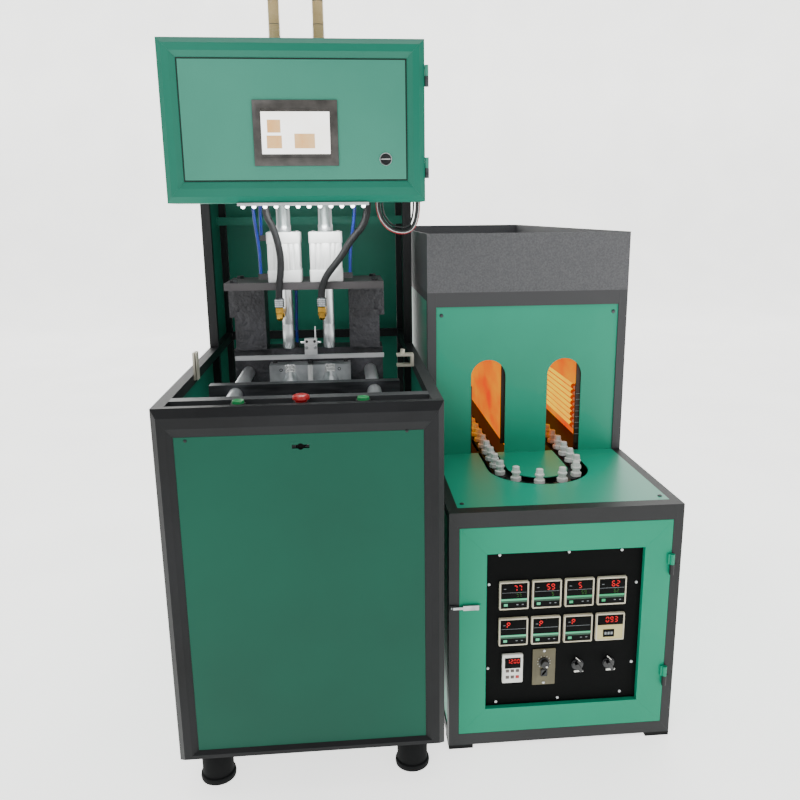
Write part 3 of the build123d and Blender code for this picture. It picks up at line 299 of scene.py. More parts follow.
# Bottle moulds
# Two machined aluminium halves with a pair of bottle cavities, bolted to the platens.
# A neck holder plate sits on the rear half with socket screws, and ribbed steel inserts grip the necks.
cap_cast = surface("cap_cast", "C9CBCA", "E0E1E0", 0.5, patch=14, metal=0.1)
mould_metal = surface("mould_metal", "BCBFC2", "E6E9EB", 0.38, patch=24, metal=0.9, stretch=(1, 8, 1))
dress(mould_metal, "front_mould", "rear_mould")
socket_screw = turned([(6, 0), (6, 5), (5.4, 6), (3.4, 6), (3.1, 3)], spot(210, 530, 906), steps=24)
gather("neck_plate_screws", "machine", black_plastic,
       copies(socket_screw, [(94, 0, 0), (188, 0, 0), (94, -22, 0)]))
cavity_x = 251.5
cavity_y = 492
cavity_pitch = 105
cavity_axis = spot(cavity_x, cavity_y, 0)
next_cavity = [(cavity_pitch, 0, 0)]
neck_half = turned([(13.3, 885), (13.3, 905), (12.2, 905), (10.4, 903.4), (10.4, 900.4), (12.6, 899),
                    (12.6, 897), (10.4, 895.4), (10.4, 892.4), (12.6, 891), (12.6, 889), (10.4, 887.6),
                    (10.4, 885.4)], cavity_axis, steps=40)
bpy.ops.object.mode_set(mode="EDIT")
pick(neck_half, "FACE", lambda face: len(face.verts) > 4)
bpy.ops.mesh.delete(type="ONLY_FACE")
bpy.ops.mesh.select_mode(type="EDGE")
bpy.ops.mesh.select_non_manifold()
bpy.ops.mesh.bridge_edge_loops()
bpy.ops.mesh.select_mode(type="VERT")
bpy.ops.mesh.select_all(action="SELECT")
bpy.ops.mesh.normals_make_consistent(inside=False)
bpy.ops.mesh.bisect(plane_co=spot(cavity_x, cavity_y, 895), plane_no=(0, 1, 0), use_fill=True,
                    clear_inner=True)
bpy.ops.object.mode_set(mode="OBJECT")
gather("neck_inserts", "machine", cap_cast, copies(neck_half, next_cavity))
inlay = easedged((297.5, 491.9, 842), (310.5, 493.5, 905.6), 0.3)
gather("mould_inlay", "machine", cap_cast, [inlay])
face_screw = turned([(4.6, 0), (4.6, 1.4), (4.2, 1.6), (2.6, 1.6), (2.4, 0.4)], spot(227.5, 493.5, 893),
                    to_front, 20)
gather("mould_face_screws", "machine", black_plastic, copies(face_screw, [(153, 0, 0)]))

# Gantry
# A thick plate on the two cast columns carries the blow cylinders, held by hexagon bolts.
# It is painted a dull grey that has gone slightly purple.
gantry_paint = surface("gantry_paint", "2A2829", "373436", 0.5, patch=7, grain=300, relief=0.4)
dress(gantry_paint, "gantry_plate")
bolt = turned([(10, 0), (10, 6), (8.8, 7)], spot(122, 470, 1126), steps=6)
gather("gantry_bolts", "machine", stem_black,
       copies(bolt, [(356, 0, 0), (0, 140, 0), (356, 140, 0)]))

# Seal cylinders
# Square air cylinders: cast caps at both ends, a drawn aluminium barrel with sensor grooves between them.
# Four screws in each cap pull the stack together.


def cut_away(piece, tools):
    """Cut the tools out of a piece, and leave it selected."""
    bpy.ops.object.select_all(action="DESELECT")
    piece.select_set(True)
    bpy.context.view_layer.objects.active = piece
    for tool in tools:
        cut = piece.modifiers.new("cut", "BOOLEAN")
        cut.operation = "DIFFERENCE"
        cut.object = tool
        bpy.ops.object.modifier_apply(modifier=cut.name)
        bpy.data.objects.remove(tool)


zinc_steel = surface("zinc_steel", "8B8E90", "B4B7B8", 0.32, patch=30, metal=1.0)
barrel_metal = surface("barrel_metal", "C4C6C6", "DEDFDE", 0.42, patch=40, metal=0.25, stretch=(8, 8, 0.6))
cap_left, cap_right = cavity_x - 42, cavity_x + 42
cap_front, cap_back = cavity_y - 42, cavity_y + 42
low_cap = easedged((cap_left, cap_front, 1126), (cap_right, cap_back, 1156), 1.5, 6)
top_cap = easedged((cap_left, cap_front, 1222), (cap_right, cap_back, 1250), 1.5, 6)
caps = gather("seal_cylinder_caps", "machine", cap_cast,
              copies(low_cap, next_cavity) + copies(top_cap, next_cavity))
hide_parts("seal_cylinders")
barrel = easedged((211, 451.5, 1155), (292, 532.5, 1223), 0.6, 5)
grooves = []
groove_wide = 6
groove_low, groove_high = 1150, 1228
for across in (224, 236, 261, 273):
    back = across + 237.5
    grooves.append(easedged((across, 446, groove_low), (across + groove_wide, 455, groove_high), 0.5))
    grooves.append(easedged((206, back, groove_low), (214.5, back + groove_wide, groove_high), 0.5))
    grooves.append(easedged((288.5, back, groove_low), (297, back + groove_wide, groove_high), 0.5))
cut_away(barrel, grooves)
bpy.ops.object.shade_smooth_by_angle(angle=crease)
gather("seal_cylinder_barrels", "machine", barrel_metal, copies(barrel, next_cavity))
cap_screw = turned([(5.5, 0), (5.5, 1.5), (4.9, 2.2), (3, 2.2), (2.8, 0.6)], spot(219.5, 460, 1250), steps=20)
screw_square = 64
corners = [(0, 0), (screw_square, 0), (0, screw_square), (screw_square, screw_square)]
corner_shifts = [(x + pitch, y, 0) for pitch in (0, cavity_pitch) for x, y in corners][1:]
gather("seal_cylinder_screws", "machine", zinc_steel, copies(cap_screw, corner_shifts))

# Stretch cylinders
# Slim round cylinders stand on the seal cylinders and draw the stretch rods down.
# A tan liner in a clear plastic sleeve guards each rod's upper travel, with a dark stop ring and a thin seam.
stretch_shell = turned([(18.4, 1250), (19, 1251), (19, 1266), (17.6, 1268), (17.6, 1672), (19, 1674),
                        (19, 1689), (17, 1690)], cavity_axis, steps=40)
shells = gather("stretch_shells", "machine", aluminium,
                copies(stretch_shell, next_cavity))
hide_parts("stretch_cylinders")
tan_plastic = surface("tan_plastic", "D8B672", "EED29A", 0.5, patch=18)
liner = turned([(12.6, 1690), (12.6, 1733), (12.9, 1734), (12.9, 1737), (12.6, 1738), (12.6, 1849),
                (10, 1850), (9.4, 1840)], cavity_axis)
gather("stretch_liners", "machine", tan_plastic, copies(liner, next_cavity))
collar = turned([(12.8, 1787), (13.2, 1788), (13.2, 1797), (12.8, 1798)], cavity_axis)
ring = turned([(12.8, 1734.6), (13.1, 1735), (13.1, 1736), (12.8, 1736.4)], cavity_axis)
gather("stretch_rings", "machine", black_plastic,
       copies(collar, next_cavity) + copies(ring, next_cavity))
clear_plastic = surface("clear_plastic", "E8E6DC", "F4F2EA", 0.12, patch=8)
clear_shader = clear_plastic.node_tree.nodes["Principled BSDF"]
clear_shader.inputs["Transmission Weight"].default_value = 0.95
clear_shader.inputs["IOR"].default_value = 1.2
sleeve = turned([(13.4, 1690), (14, 1691), (14, 1846), (13.6, 1847), (13.3, 1846), (13.3, 1692)], cavity_axis)
gather("stretch_sleeves", "machine", clear_plastic, copies(sleeve, next_cavity))

# Blow heads
# Hollow chromed rods seal the preform necks. A brass elbow is screwed into each one.
# A crimped steel ferrule joins the elbow to the hose.
brass = surface("brass", "5E461A", "A88334", 0.16, patch=30, metal=1.0)
crimped = surface("crimped_steel", "8A8D90", "B4B8BA", 0.3, patch=30, metal=1.0)
for side, middle in (("left", cavity_x), ("right", cavity_x + cavity_pitch)):
    body = "blow_" + side
    slot = "blow_head_" + side
    axis = spot(middle, cavity_y, 0)
    rod = turned([(8, 952), (13, 952), (15, 955), (15, 1012), (14.6, 1013), (14.6, 1016), (15, 1017),
                  (15, 1207), (32.4, 1208), (32.4, 1220)], axis, steps=40)
    drill = turned([(7.5, 940), (7.5, 1230)], axis, steps=40)
    cut_away(rod, [drill])
    bpy.ops.object.shade_smooth_by_angle(angle=crease)
    rod = gather("blow_rod_" + side, body, chrome, [rod])
    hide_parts(slot)
    elbow_x = middle - 14
    hose_axis = spot(elbow_x, 425, 0)
    branch = turned([(9, 0), (9, 30), (11, 31), (11, 42), (9, 43), (9, 62), (7, 66)],
                    spot(elbow_x, 484, 1045), to_front, 24)
    knee = turned([(6, 1033), (8.4, 1036), (9, 1040), (9, 1052), (11, 1053), (11, 1065), (9, 1067)],
                  hose_axis, steps=6)
    gather("blow_elbow_" + side, body, brass, [branch, knee])
    crimps = [(10.5, 1067)]
    for crimp in range(1068, 1088, 5):
        crimps += [(12, crimp), (12, crimp + 3), (10.8, crimp + 4)]
    ferrule = turned(crimps + [(11.6, 1088), (10, 1089)], hose_axis, steps=28)
    gather("blow_ferrule_" + side, body, crimped, [ferrule])

# Preform bar
# A brushed stainless bar rests the two preforms, held by a bracket on a flat arm over the fixed platen.
# Two socket screws and two pan-head screws fix the bracket.
stainless = surface("stainless", "C4C6C8", "E4E5E6", 0.4, patch=14, metal=0.75, stretch=(0.4, 8, 8))
dress(stainless, "preform_bar")
small_socket = turned([(3.6, 0), (3.6, 1.6), (3.2, 2), (1.9, 2), (1.7, 0.6)], spot(300, 446, 975),
                      to_front, 16)
gather("bracket_sockets", "machine", black_plastic, copies(small_socket, [(20, 0, 0)]))
bracket_pan = turned([(4.2, 0), (4.2, 1), (3.4, 2.2), (1.6, 2.8)], spot(299, 446, 959), to_front, 16)
gather("bracket_pans", "machine", zinc_steel, copies(bracket_pan, [(22, 0, 0)]))

# Guard clips
# Small pressed steel clips on the side rails hold a guard sheet.
# They are plated in a warm grey, and the right one has a thumb screw.
clip_steel = surface("clip_steel", "BDB9A8", "D8D4C4", 0.38, patch=20, metal=0.5)
dress(clip_steel, "guard_clips")

# Blow hoses
# Black rubber hoses with a woven skin run from the ferrules up into the underside of the control box.


def cord_line(name, route):
    """A smooth line along the route's control points."""
    curve = bpy.data.curves.new(name, "CURVE")
    curve.dimensions = "3D"
    curve.resolution_u = 16
    line = curve.splines.new("NURBS")
    line.points.add(len(route) - 1)
    for point, place in zip(line.points, route):
        point.co = (*spot(*place), 1)
    line.order_u = 3
    line.use_endpoint_u = True
    made = bpy.data.objects.new(name, curve)
    bpy.context.collection.objects.link(made)
    return made


def cord_points(line):
    """The points that a line without thickness passes through."""
    mesh = bpy.data.meshes.new_from_object(line)
    return [vertex.co.copy() for vertex in mesh.vertices]


def thicken(line, radius, roundness):
    """Give a line its thickness, by a radius in millimetres, and closed ends."""
    line.data.bevel_depth = radius / 1000
    line.data.bevel_resolution = roundness
    line.data.use_fill_caps = True


def as_mesh(line):
    """Turn a line into a mesh."""
    bpy.ops.object.select_all(action="DESELECT")
    line.select_set(True)
    bpy.context.view_layer.objects.active = line
    bpy.ops.object.convert(target="MESH")
    return bpy.context.object


hose_rubber = surface("hose_rubber", "08090A", "121315", 0.55, patch=60, grain=700, relief=0.5, shine=0.3)
hose_routes = (
    ("left", [(237.5, 425, 1089), (237.5, 425, 1112), (245, 425, 1158), (246, 420, 1202), (233, 411, 1262),
              (217, 403, 1290), (217, 403, 1319.5)]),
    ("right", [(342.5, 425, 1089), (342.5, 425, 1128), (395, 420, 1189), (420, 415, 1231), (462, 400, 1276),
               (462, 400, 1319.5)]))
for side, route in hose_routes:
    hose = cord_line("hose_" + side, route)
    points = cord_points(hose)
    thicken(hose, 8.75, 5)
    hose = as_mesh(hose)
    hose.data.materials.append(hose_rubber)
    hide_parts("blow_hose_" + side)
    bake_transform(hose)

# Air tubes
# Thin blue polyurethane tubes feed the cylinders.
# They sit in black push-in fittings below, and three of them end at the floor of the control box.
tube_blue = surface("tube_blue", "041C68", "082C84", 0.35, patch=40, shine=0.3)
dress(black_plastic, "tube_fittings")
air_routes = (
    ("a", [(191.5, 462, 1148), (191.5, 462, 1175), (191, 455, 1215), (184.5, 430, 1295),
           (184.5, 430, 1319.5)]),
    ("b", [(197.5, 462, 1243), (197.5, 462, 1263), (200.5, 436, 1296), (200.5, 436, 1319.5)]),
    ("c", [(416.5, 462, 1148), (416.5, 462, 1175), (419.5, 455, 1215), (431.5, 430, 1295),
           (431.5, 430, 1319.5)]),
    ("d", [(271, 575, 1094), (271, 575, 1064), (268, 577, 1010), (268, 577, 954)]))
for letter, route in air_routes:
    tube = cord_line("air_tube_" + letter, route)
    points = cord_points(tube)
    thicken(tube, 4, 3)
    tube.data.materials.append(tube_blue)
    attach(tube, "machine")
    if letter == "a":
        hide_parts("air_tubes")

# Control box
# A sheet steel box with a bevelled welded rim, painted like the blower but lighter and greyer, partly as
# painted sheen from the light above and in front, the rim a little darker.
# The door has a rolled hinge edge on the left, a near-black band of painted shade for the door gap round its
# rim, and a quarter-turn lock.
# The box green is lighter and greyer partly as a painted sheen of the light from above and in front.
box_green_and_sheen = surface("box_green_and_sheen", "2F7B67", "3A8A75", 0.42, patch=1.6, grain=260, relief=0.4, shine=0.4)
dress(box_green_and_sheen, "control_box_shell")
bezel_green = surface("bezel_green", "0C6450", "146E5A", 0.42, patch=1.6, grain=260, relief=0.4, shine=0.3)
dress(bezel_green, "control_box_bezel")
# Painted shade: a near-black band round the door's rim stands for the shade of the door gap.
gap_shaded_green = box_green_and_sheen.copy()
gap_shaded_green.name = "gap_shaded_green"
nodes = gap_shaded_green.node_tree.nodes
links = gap_shaded_green.node_tree.links
placed = nodes.new("ShaderNodeSeparateXYZ")
links.new(nodes["Texture Coordinate"].outputs["Object"], placed.inputs["Vector"])
outward = nodes.new("ShaderNodeMath")
outward.operation = "MAXIMUM"
for way, middle, unshaded_half, input_number in (("X", -0.292, 0.2506, 0), ("Z", 1.49825, 0.1284, 1)):
    away = nodes.new("ShaderNodeMath")
    away.operation = "SUBTRACT"
    away.inputs[1].default_value = middle
    links.new(placed.outputs[way], away.inputs[0])
    far = nodes.new("ShaderNodeMath")
    far.operation = "ABSOLUTE"
    links.new(away.outputs["Value"], far.inputs[0])
    over = nodes.new("ShaderNodeMath")
    over.operation = "SUBTRACT"
    over.inputs[1].default_value = unshaded_half
    links.new(far.outputs["Value"], over.inputs[0])
    links.new(over.outputs["Value"], outward.inputs[input_number])
edge = nodes.new("ShaderNodeMath")
edge.operation = "GREATER_THAN"
edge.inputs[1].default_value = 0
links.new(outward.outputs["Value"], edge.inputs[0])
gap_shade_black = (0.003, 0.012, 0.009, 1)
gap_shade_mix = nodes.new("ShaderNodeMix")
gap_shade_mix.data_type = "RGBA"
gap_shade_mix.inputs["B"].default_value = gap_shade_black
links.new(edge.outputs["Value"], gap_shade_mix.inputs["Factor"])
links.new(nodes["Color Ramp"].outputs["Color"], gap_shade_mix.inputs["A"])
links.new(gap_shade_mix.outputs["Result"], nodes["Principled BSDF"].inputs["Base Color"])
dress(gap_shaded_green, "control_door")
dress(stem_black, "door_lock")
lock_place = spot(504, 315, 1414)
lock_ring = turned([(14.4, 0), (14.4, 2), (13.8, 2.8), (12, 2.8)], lock_place, to_front, 40)
drill = turned([(12.3, -5), (12.3, 5)], lock_place, to_front, 40)
cut_away(lock_ring, [drill])
gather("lock_ring", "box_door", chrome, [lock_ring])
slot_light = easedged((493.5, 311.4, 1412.9), (514.5, 312.2, 1415.1), 0.2)
gather("lock_slot", "box_lock", cap_cast, [slot_light])
lug = turned([(4.3, 0), (4.8, 0.6), (4.8, 22), (4.3, 22.6)], spot(599.7, 322, 1372), steps=20)
gather("box_lug_sleeves", "machine", oiled_steel, copies(lug, [(0, 0, 200)]))

# Touch screen
# A dark grey plastic operator panel set in the door, with a lit display in its recess.
# Orange blocks on the display stand for the pages of the program.


def glow(name, dark, light, strength, patch=3.0, stretch=(1, 1, 1)):
    """A surface that gives off light of cloudy colour and reflects little."""
    made = surface(name, dark, light, 0.4, patch=patch, stretch=stretch, shine=0.1)
    nodes = made.node_tree.nodes
    links = made.node_tree.links
    shader = nodes["Principled BSDF"]
    links.remove(shader.inputs["Base Color"].links[0])
    shader.inputs["Base Color"].default_value = (0.02, 0.02, 0.02, 1)
    links.new(nodes["Color Ramp"].outputs["Color"], shader.inputs["Emission Color"])
    shader.inputs["Emission Strength"].default_value = strength
    return made


def recess(piece, way, rim, deep):
    """Inset the face that looks one way and sink it, both in millimetres."""
    bpy.ops.object.select_all(action="DESELECT")
    piece.select_set(True)
    bpy.context.view_layer.objects.active = piece
    bpy.ops.object.mode_set(mode="EDIT")
    bpy.ops.mesh.select_mode(type="FACE")
    bpy.ops.mesh.select_all(action="DESELECT")
    mesh = bmesh.from_edit_mesh(piece.data)
    facing = [face for face in mesh.faces if face.normal.dot(way) > 0.99]
    max(facing, key=lambda face: face.calc_area()).select_set(True)
    bmesh.update_edit_mesh(piece.data)
    bpy.ops.mesh.inset(thickness=rim / 1000)
    bpy.ops.mesh.inset(thickness=deep / 4000, depth=-deep / 1000)
    bpy.ops.mesh.select_mode(type="VERT")
    bpy.ops.mesh.select_all(action="DESELECT")
    bpy.ops.object.mode_set(mode="OBJECT")
    bpy.ops.object.shade_smooth_by_angle(angle=crease)
    return piece


forward = Vector((0, -1, 0))
screen_black = surface("screen_black", "302E2C", "4A4744", 0.35, patch=40)
rim = recess(easedged((206.5, 311, 1400), (396.5, 349, 1542), 1.2), forward, 17, 1.6)
rim = gather("screen_rim", "box_door", screen_black, [rim])
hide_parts("touch_screen")
display = glow("display", "F2EEE2", "FFFFFF", 3.2, patch=9)
gather("screen_display", "box_door", display,
       [easedged((224, 311.8, 1426), (379, 313, 1517), 0.3)])
display_blocks = glow("display_blocks", "F0B46A", "F7D09A", 1.8, patch=30)
blocks = [easedged((x, 311.4, z), (x + w, 312.2, z + h), 0.2) for x, z, w, h in
          ((236, 1438, 34, 28), (298, 1438, 46, 32), (238, 1472, 30, 28))]
gather("screen_blocks", "box_door", display_blocks, blocks)

# Lamp strip
# Twelve white light diodes on a narrow grey bar light the moulds.
# The bar is stuck to the underside of the control box.
lamp_white = glow("lamp_white", "EEF3F6", "FFFFFF", 9.0)
strip_grey = surface("strip_grey", "A8ACAE", "C8CCCE", 0.5, patch=20)
strip = gather("strip_bar", "machine", strip_grey,
               [easedged((161, 314, 1312.5), (463, 324, 1319.5), 0.8)])
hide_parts("led_strip")
diode_pitch = 25.1667
diode = turned([(5, 0), (5, 2), (4, 4.4), (2, 6)], spot(173.6, 319, 1312.3), (math.pi, 0, 0), 16)
gather("strip_lamps", "machine", lamp_white,
       copies(diode, [(diode_pitch * i, 0, 0) for i in range(1, 12)]))

# Wiring loop
# A sheathed bundle hangs in a loop under the right end of the box, and both its ends are clamped inside.
# A black, a red and a white wire hang beside it.
loop = cord_line("wiring_sheath", [(490, 422, 1319.5), (490, 422, 1290), (520, 422, 1252), (568, 425, 1248),
                                   (586, 428, 1285), (586, 428, 1319.5)])
points = cord_points(loop)
thicken(loop, 4.5, 3)
loop.data.materials.append(black_plastic)
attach(loop, "machine")
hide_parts("wiring_loop")
red_wire = surface("red_wire", "8E1420", "B02230", 0.4, patch=40)
loose_wires = (("black", black_plastic, 2.2, -9, 2), ("red", red_wire, 1.3, 6.2, 0),
               ("white", cap_cast, 0.9, 3.8, -4.4))
for name, material, radius, across, back in loose_wires:
    beside = []
    for step, place in enumerate(points):
        ahead = points[min(step + 1, len(points) - 1)] - points[max(step - 1, 0)]
        sideways = Vector((0, 1, 0)).cross(ahead).normalized()
        beside.append(place + sideways * across / 1000 + Vector((0, back / 1000, 0)))
    curve = bpy.data.curves.new("wire_" + name, "CURVE")
    curve.dimensions = "3D"
    line = curve.splines.new("POLY")
    line.points.add(len(beside) - 1)
    for point, place in zip(line.points, beside):
        point.co = (*place, 1)
    wire = bpy.data.objects.new("wire_" + name, curve)
    bpy.context.collection.objects.link(wire)
    thicken(wire, radius, 2)
    wire = as_mesh(wire)
    wire.data.materials.append(material)
    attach(wire, "machine")

# Heater frame and sheets
# Welded square tube in a charcoal coat, painted a lighter grey on the oven where the light falls on it
# (painted light), with rubber pads and a floor tray below.
# Green sheets are screwed on between the tubes, and the table is coloured near-black inside the oven.
# The hood is a folded dark grey box with a coarse sandy coat, open at the top.


def coloured_past(material, way, limit, colour):
    """Give a material another colour where its place along one way lies past a limit in metres."""
    nodes = material.node_tree.nodes
    links = material.node_tree.links
    place = nodes.new("ShaderNodeSeparateXYZ")
    links.new(nodes["Texture Coordinate"].outputs["Object"], place.inputs["Vector"])
    past = nodes.new("ShaderNodeMath")
    past.operation = "GREATER_THAN"
    past.inputs[1].default_value = limit
    links.new(place.outputs[way], past.inputs[0])
    mixed = nodes.new("ShaderNodeMix")
    mixed.data_type = "RGBA"
    mixed.inputs["B"].default_value = colour
    links.new(past.outputs["Value"], mixed.inputs["Factor"])
    links.new(nodes["Color Ramp"].outputs["Color"], mixed.inputs["A"])
    links.new(mixed.outputs["Result"], nodes["Principled BSDF"].inputs["Base Color"])
    return past


heater_green = surface("heater_green", "158F70", "1E9F7F", 0.42, patch=1.6, grain=500, relief=0.1, shine=0.3)
door_green = surface("door_green", "008060", "048E6C", 0.45, patch=1.6, grain=500, relief=0.1, shine=0.2)
hood_coat = surface("hood_coat", "464649", "58585B", 0.55, patch=260, grain=260, relief=0.8)
heater_charcoal = surface("heater_charcoal", "161718", "212224", 0.5, grain=420, relief=0.4, shine=0.3)
oven_low = 0.622
# Painted light: above the table the tubes are coloured a lighter grey where the light falls on the oven.
oven_painted_light_grey = (0.05, 0.05, 0.053, 1)
coloured_past(heater_charcoal, "Z", oven_low, oven_painted_light_grey)
dress(heater_charcoal, "heater_tubes")
pan_head = [(5.5, 0), (5.5, 1), (4.6, 2.2), (2.2, 2.8), (2.0, 2.0)]
sheet_screw = turned(pan_head, spot(663, 566, 1019), to_front, 16)
gather("oven_sheet_screws", "machine", oiled_steel, copies(sheet_screw, [(483, 0, 2)]))
table_screw = turned(pan_head, spot(662, 171, 621), steps=16)
gather("table_screws", "machine", oiled_steel, copies(table_screw, [(484, 0, 0)]))
dress(foot_rubber, "heater_pads")
dress(heater_green, "heater_panels")
dress(door_green, "heater_door")
table_green = surface("table_green", "158F70", "1E9F7F", 0.36, patch=1.6, grain=500, relief=0.05, shine=0.5)
dress(table_green, "heater_table")
nodes = table_green.node_tree.nodes
links = table_green.node_tree.links
oven_front = -0.437
# Past the oven front the table is coloured near-black and made less glossy.
inside_near_black = (0.006, 0.004, 0.003, 1)
inside = coloured_past(table_green, "Y", oven_front, inside_near_black)
duller = nodes.new("ShaderNodeMapRange")
duller.inputs["To Min"].default_value = 0.5
duller.inputs["To Max"].default_value = 0.04
links.new(inside.outputs["Value"], duller.inputs["Value"])
links.new(duller.outputs["Result"], nodes["Principled BSDF"].inputs["Specular IOR Level"])
sheet = easedged((648, 566, 621), (1160, 568, 1042), 0.3)
arches = []
arch_half = 49
arch_spring = 843
lane_left, lane_right = 795.5, 1012.5
for middle in (lane_left, lane_right):
    arches.append(easedged((middle - arch_half, 550, 600), (middle + arch_half, 580, arch_spring), 0.1))
    arches.append(turned([(arch_half, -20), (arch_half, 20)], spot(middle, 567, arch_spring), to_front, 64))
cut_away(sheet, arches)
bpy.ops.object.shade_smooth_by_angle(angle=math.radians(20))
sheet = gather("oven_sheet", "machine", heater_green, [sheet])
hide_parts("oven_front_panel")
dress(hood_coat, "hood")
tray = easedged((648.5, 148, 12), (1159.5, 1988, 32), 0.3)
recess(tray, Vector((0, 0, 1)), 1.5, 18)
gather("heater_tray", "machine", heater_charcoal, [tray])

# Chain and preform holders
# A roller chain on sprockets carries white plastic holders round the slot of the table.
# Each holder has a disc, a body and a narrower peg that takes a preform's neck.
dress(oiled_steel, "chain_drive", "chain_links")
holder_white = surface("holder_white", "D5D5D0", "ECECE8", 0.45, patch=30)
holder = turned([(12, 613), (14, 614.5), (14, 624), (9.6, 626), (9.6, 633), (12.2, 635), (12.2, 639),
                 (9.8, 641), (9, 652), (6, 653)], spot(lane_right, 421, 0), steps=10)
holder_pitch = 63
lane_run = 1429
lane_half = (lane_right - lane_left) / 2
lane_bend = math.pi * lane_half
loop_run = 2 * lane_run + 2 * lane_bend
holder_count = round(loop_run / holder_pitch)
holder_shifts = []
for i in range(1, holder_count):
    along = i * loop_run / holder_count
    if along < lane_run:
        holder_shifts.append((0, along, 0))
    elif along < lane_run + lane_bend:
        turn = (along - lane_run) / lane_half
        across = lane_half * math.cos(turn) - lane_half
        holder_shifts.append((across, lane_run + lane_half * math.sin(turn), 0))
    elif along < 2 * lane_run + lane_bend:
        holder_shifts.append((-2 * lane_half, 2 * lane_run + lane_bend - along, 0))
    else:
        turn = math.pi + (along - 2 * lane_run - lane_bend) / lane_half
        across = lane_half * math.cos(turn) - lane_half
        holder_shifts.append((across, lane_half * math.sin(turn), 0))
holders = gather("holder_row", "machine", holder_white, copies(holder, holder_shifts))
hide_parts("preform_holders")

# Lamps and reflectors
# Eight quartz lamps lie above each other on both sides of the oven, with ceramic ends in dark brackets.
# Polished sheets behind them and down the middle throw the orange glow back on the lanes; they themselves
# glow orange as a painted reflection of the lamps.
# Dark sheets cover the ends of the banks, and thin pins cross the cover in the right arch.
lamp_glow = glow("lamp_glow", "FF9C00", "FFD800", 1.5, patch=6, stretch=(1, 0.6, 1.5))
# Painted reflection: the reflector sheets give off orange light of their own.
painted_reflection_glow = glow("painted_reflection_glow", "FF3800", "FF9E00", 1.05, patch=5, stretch=(1, 1, 2))
# Painted lamp light: rings at the lamp ends glow orange where the lamps light the ceramic ends.
painted_lamp_light_on_ends = glow("painted_lamp_light_on_ends", "D03000", "F85000", 0.6, patch=20)
ceramic = surface("ceramic", "C9B8A0", "E4D8C6", 0.6, patch=30)
bracket_brown = surface("bracket_brown", "2A1A12", "3C2618", 0.5, patch=20)
dress(lamp_glow, "lamp_tubes")
dress(painted_reflection_glow, "reflectors")
dress(bracket_brown, "lamp_brackets")
lamp_pitch = 17
bank_pitch = 336
lamp_shifts = [(bank_pitch * bank, 0, lamp_pitch * i) for bank in range(2) for i in range(8)][1:]
lamp_ring = turned([(5.6, 0), (7.6, 3), (7.6, 18), (5.8, 26)], spot(736, 676, 668), to_front, 12)
gather("lamp_end_glow", "machine", painted_lamp_light_on_ends, copies(lamp_ring, lamp_shifts))
lamp_sleeve = turned([(5.6, 0), (7, 1), (7, 34), (6.2, 42)], spot(736, 650, 668), to_front, 12)
gather("lamp_end_sleeves", "machine", ceramic, copies(lamp_sleeve, lamp_shifts))
lamp_cap = turned([(5.6, 0), (6, 0.5), (6, 6), (3, 6.6), (1.4, 7), (1.4, 16)], spot(736, 588, 668),
                  to_front, 12)
gather("lamp_end_caps", "machine", ceramic, copies(lamp_cap, lamp_shifts))
covers = [easedged((left, 572, 640), (right, 575, 905), 0.4) for left, right in ((1049, 1100), (708, 748))]
covers += [easedged((left, 592, 640), (right, 596, 884), 0.4) for left, right in ((837, 864), (944, 971))]
gather("lamp_bank_covers", "machine", bracket_brown, covers)
pin = turned([(0.9, 0), (1.1, 1), (1.1, 26), (0.9, 27)], spot(1050, 571, 668), (0, math.pi / 2, 0), 8)
gather("lamp_pins", "machine", zinc_steel,
       copies(pin, [(0, 0, lamp_pitch * i) for i in range(1, 8)]))

# Control panel of the heater door
# A black painted plate is set back in the door and carries the instruments.
# Ten white screws hold it from the front.
panel_black = surface("panel_black", "040505", "080909", 0.6, grain=500, relief=0.2, shine=0.06)
dress(panel_black, "control_panel")
screw_white = surface("screw_white", "C2C4C4", "DEE0E0", 0.4, patch=30)
panel_screw = turned([(3.6, 0), (3.6, 1.2), (2.9, 2.2), (1.4, 2.5)], spot(746, 126, 507), to_front, 16)
screw_shifts = [(167, 0, 0), (296, 0, -1), (-25, 0, -74), (336, 0, -87), (-25, 0, -297), (335, 0, -301),
                (-4, 0, -390), (151, 0, -389), (309, 0, -382)]
screws = gather("panel_screw_heads", "oven_door", screw_white,
                copies(panel_screw, screw_shifts))
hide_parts("panel_screws")

# Temperature meters and timer
# Square plug-in instruments with a thin cream rim and a dark window, four over four.
# Red digits show the heat and green ones the set value, over a mint band and a row of keys.
# The last one is a timer with thumbwheels.
meter_cream = surface("meter_cream", "B5AD95", "CFC8B2", 0.5, patch=20)
case_front = -0.8765
case_black = (0.012, 0.012, 0.013, 1)
coloured_past(meter_cream, "Y", case_front, case_black)
window_black = surface("window_black", "040505", "080909", 0.5, patch=20, shine=0.06)
red_digit = glow("red_digit", "F00008", "FF0814", 1.6)
green_digit = glow("green_digit", "2A8A10", "4CA81C", 0.5)
mint_band = glow("mint_band", "2FC880", "6FE8B0", 1.0)
dark_band = surface("dark_band", "053A24", "08492E", 0.5, patch=20)
mark_grey = surface("mark_grey", "6E7478", "8A9094", 0.5, patch=20)
timer_cream = surface("timer_cream", "B3A66A", "C8BC82", 0.5, patch=20)
meter_pitch = 79.7
row_drop = -95.5
meter_columns = [781.25 + meter_pitch * i for i in range(4)]
bezel = recess(easedged((745.75, 118, 367.5), (816.75, 188, 439.5), 1, 3, 1), forward, 2.4, 1.6)
bezel_shifts = [(meter_pitch * i, 0, drop) for drop in (0, row_drop) for i in range(4)][1:-1]
timer_shift = (meter_pitch * 3, 0, row_drop)
bezels = gather("meter_rims", "oven_door", meter_cream, copies(bezel, bezel_shifts))
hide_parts("temperature_meters")
timer = recess(easedged((984.85, 118, 272), (1055.85, 188, 344), 1, 3, 1), forward, 2.4, 1.6)
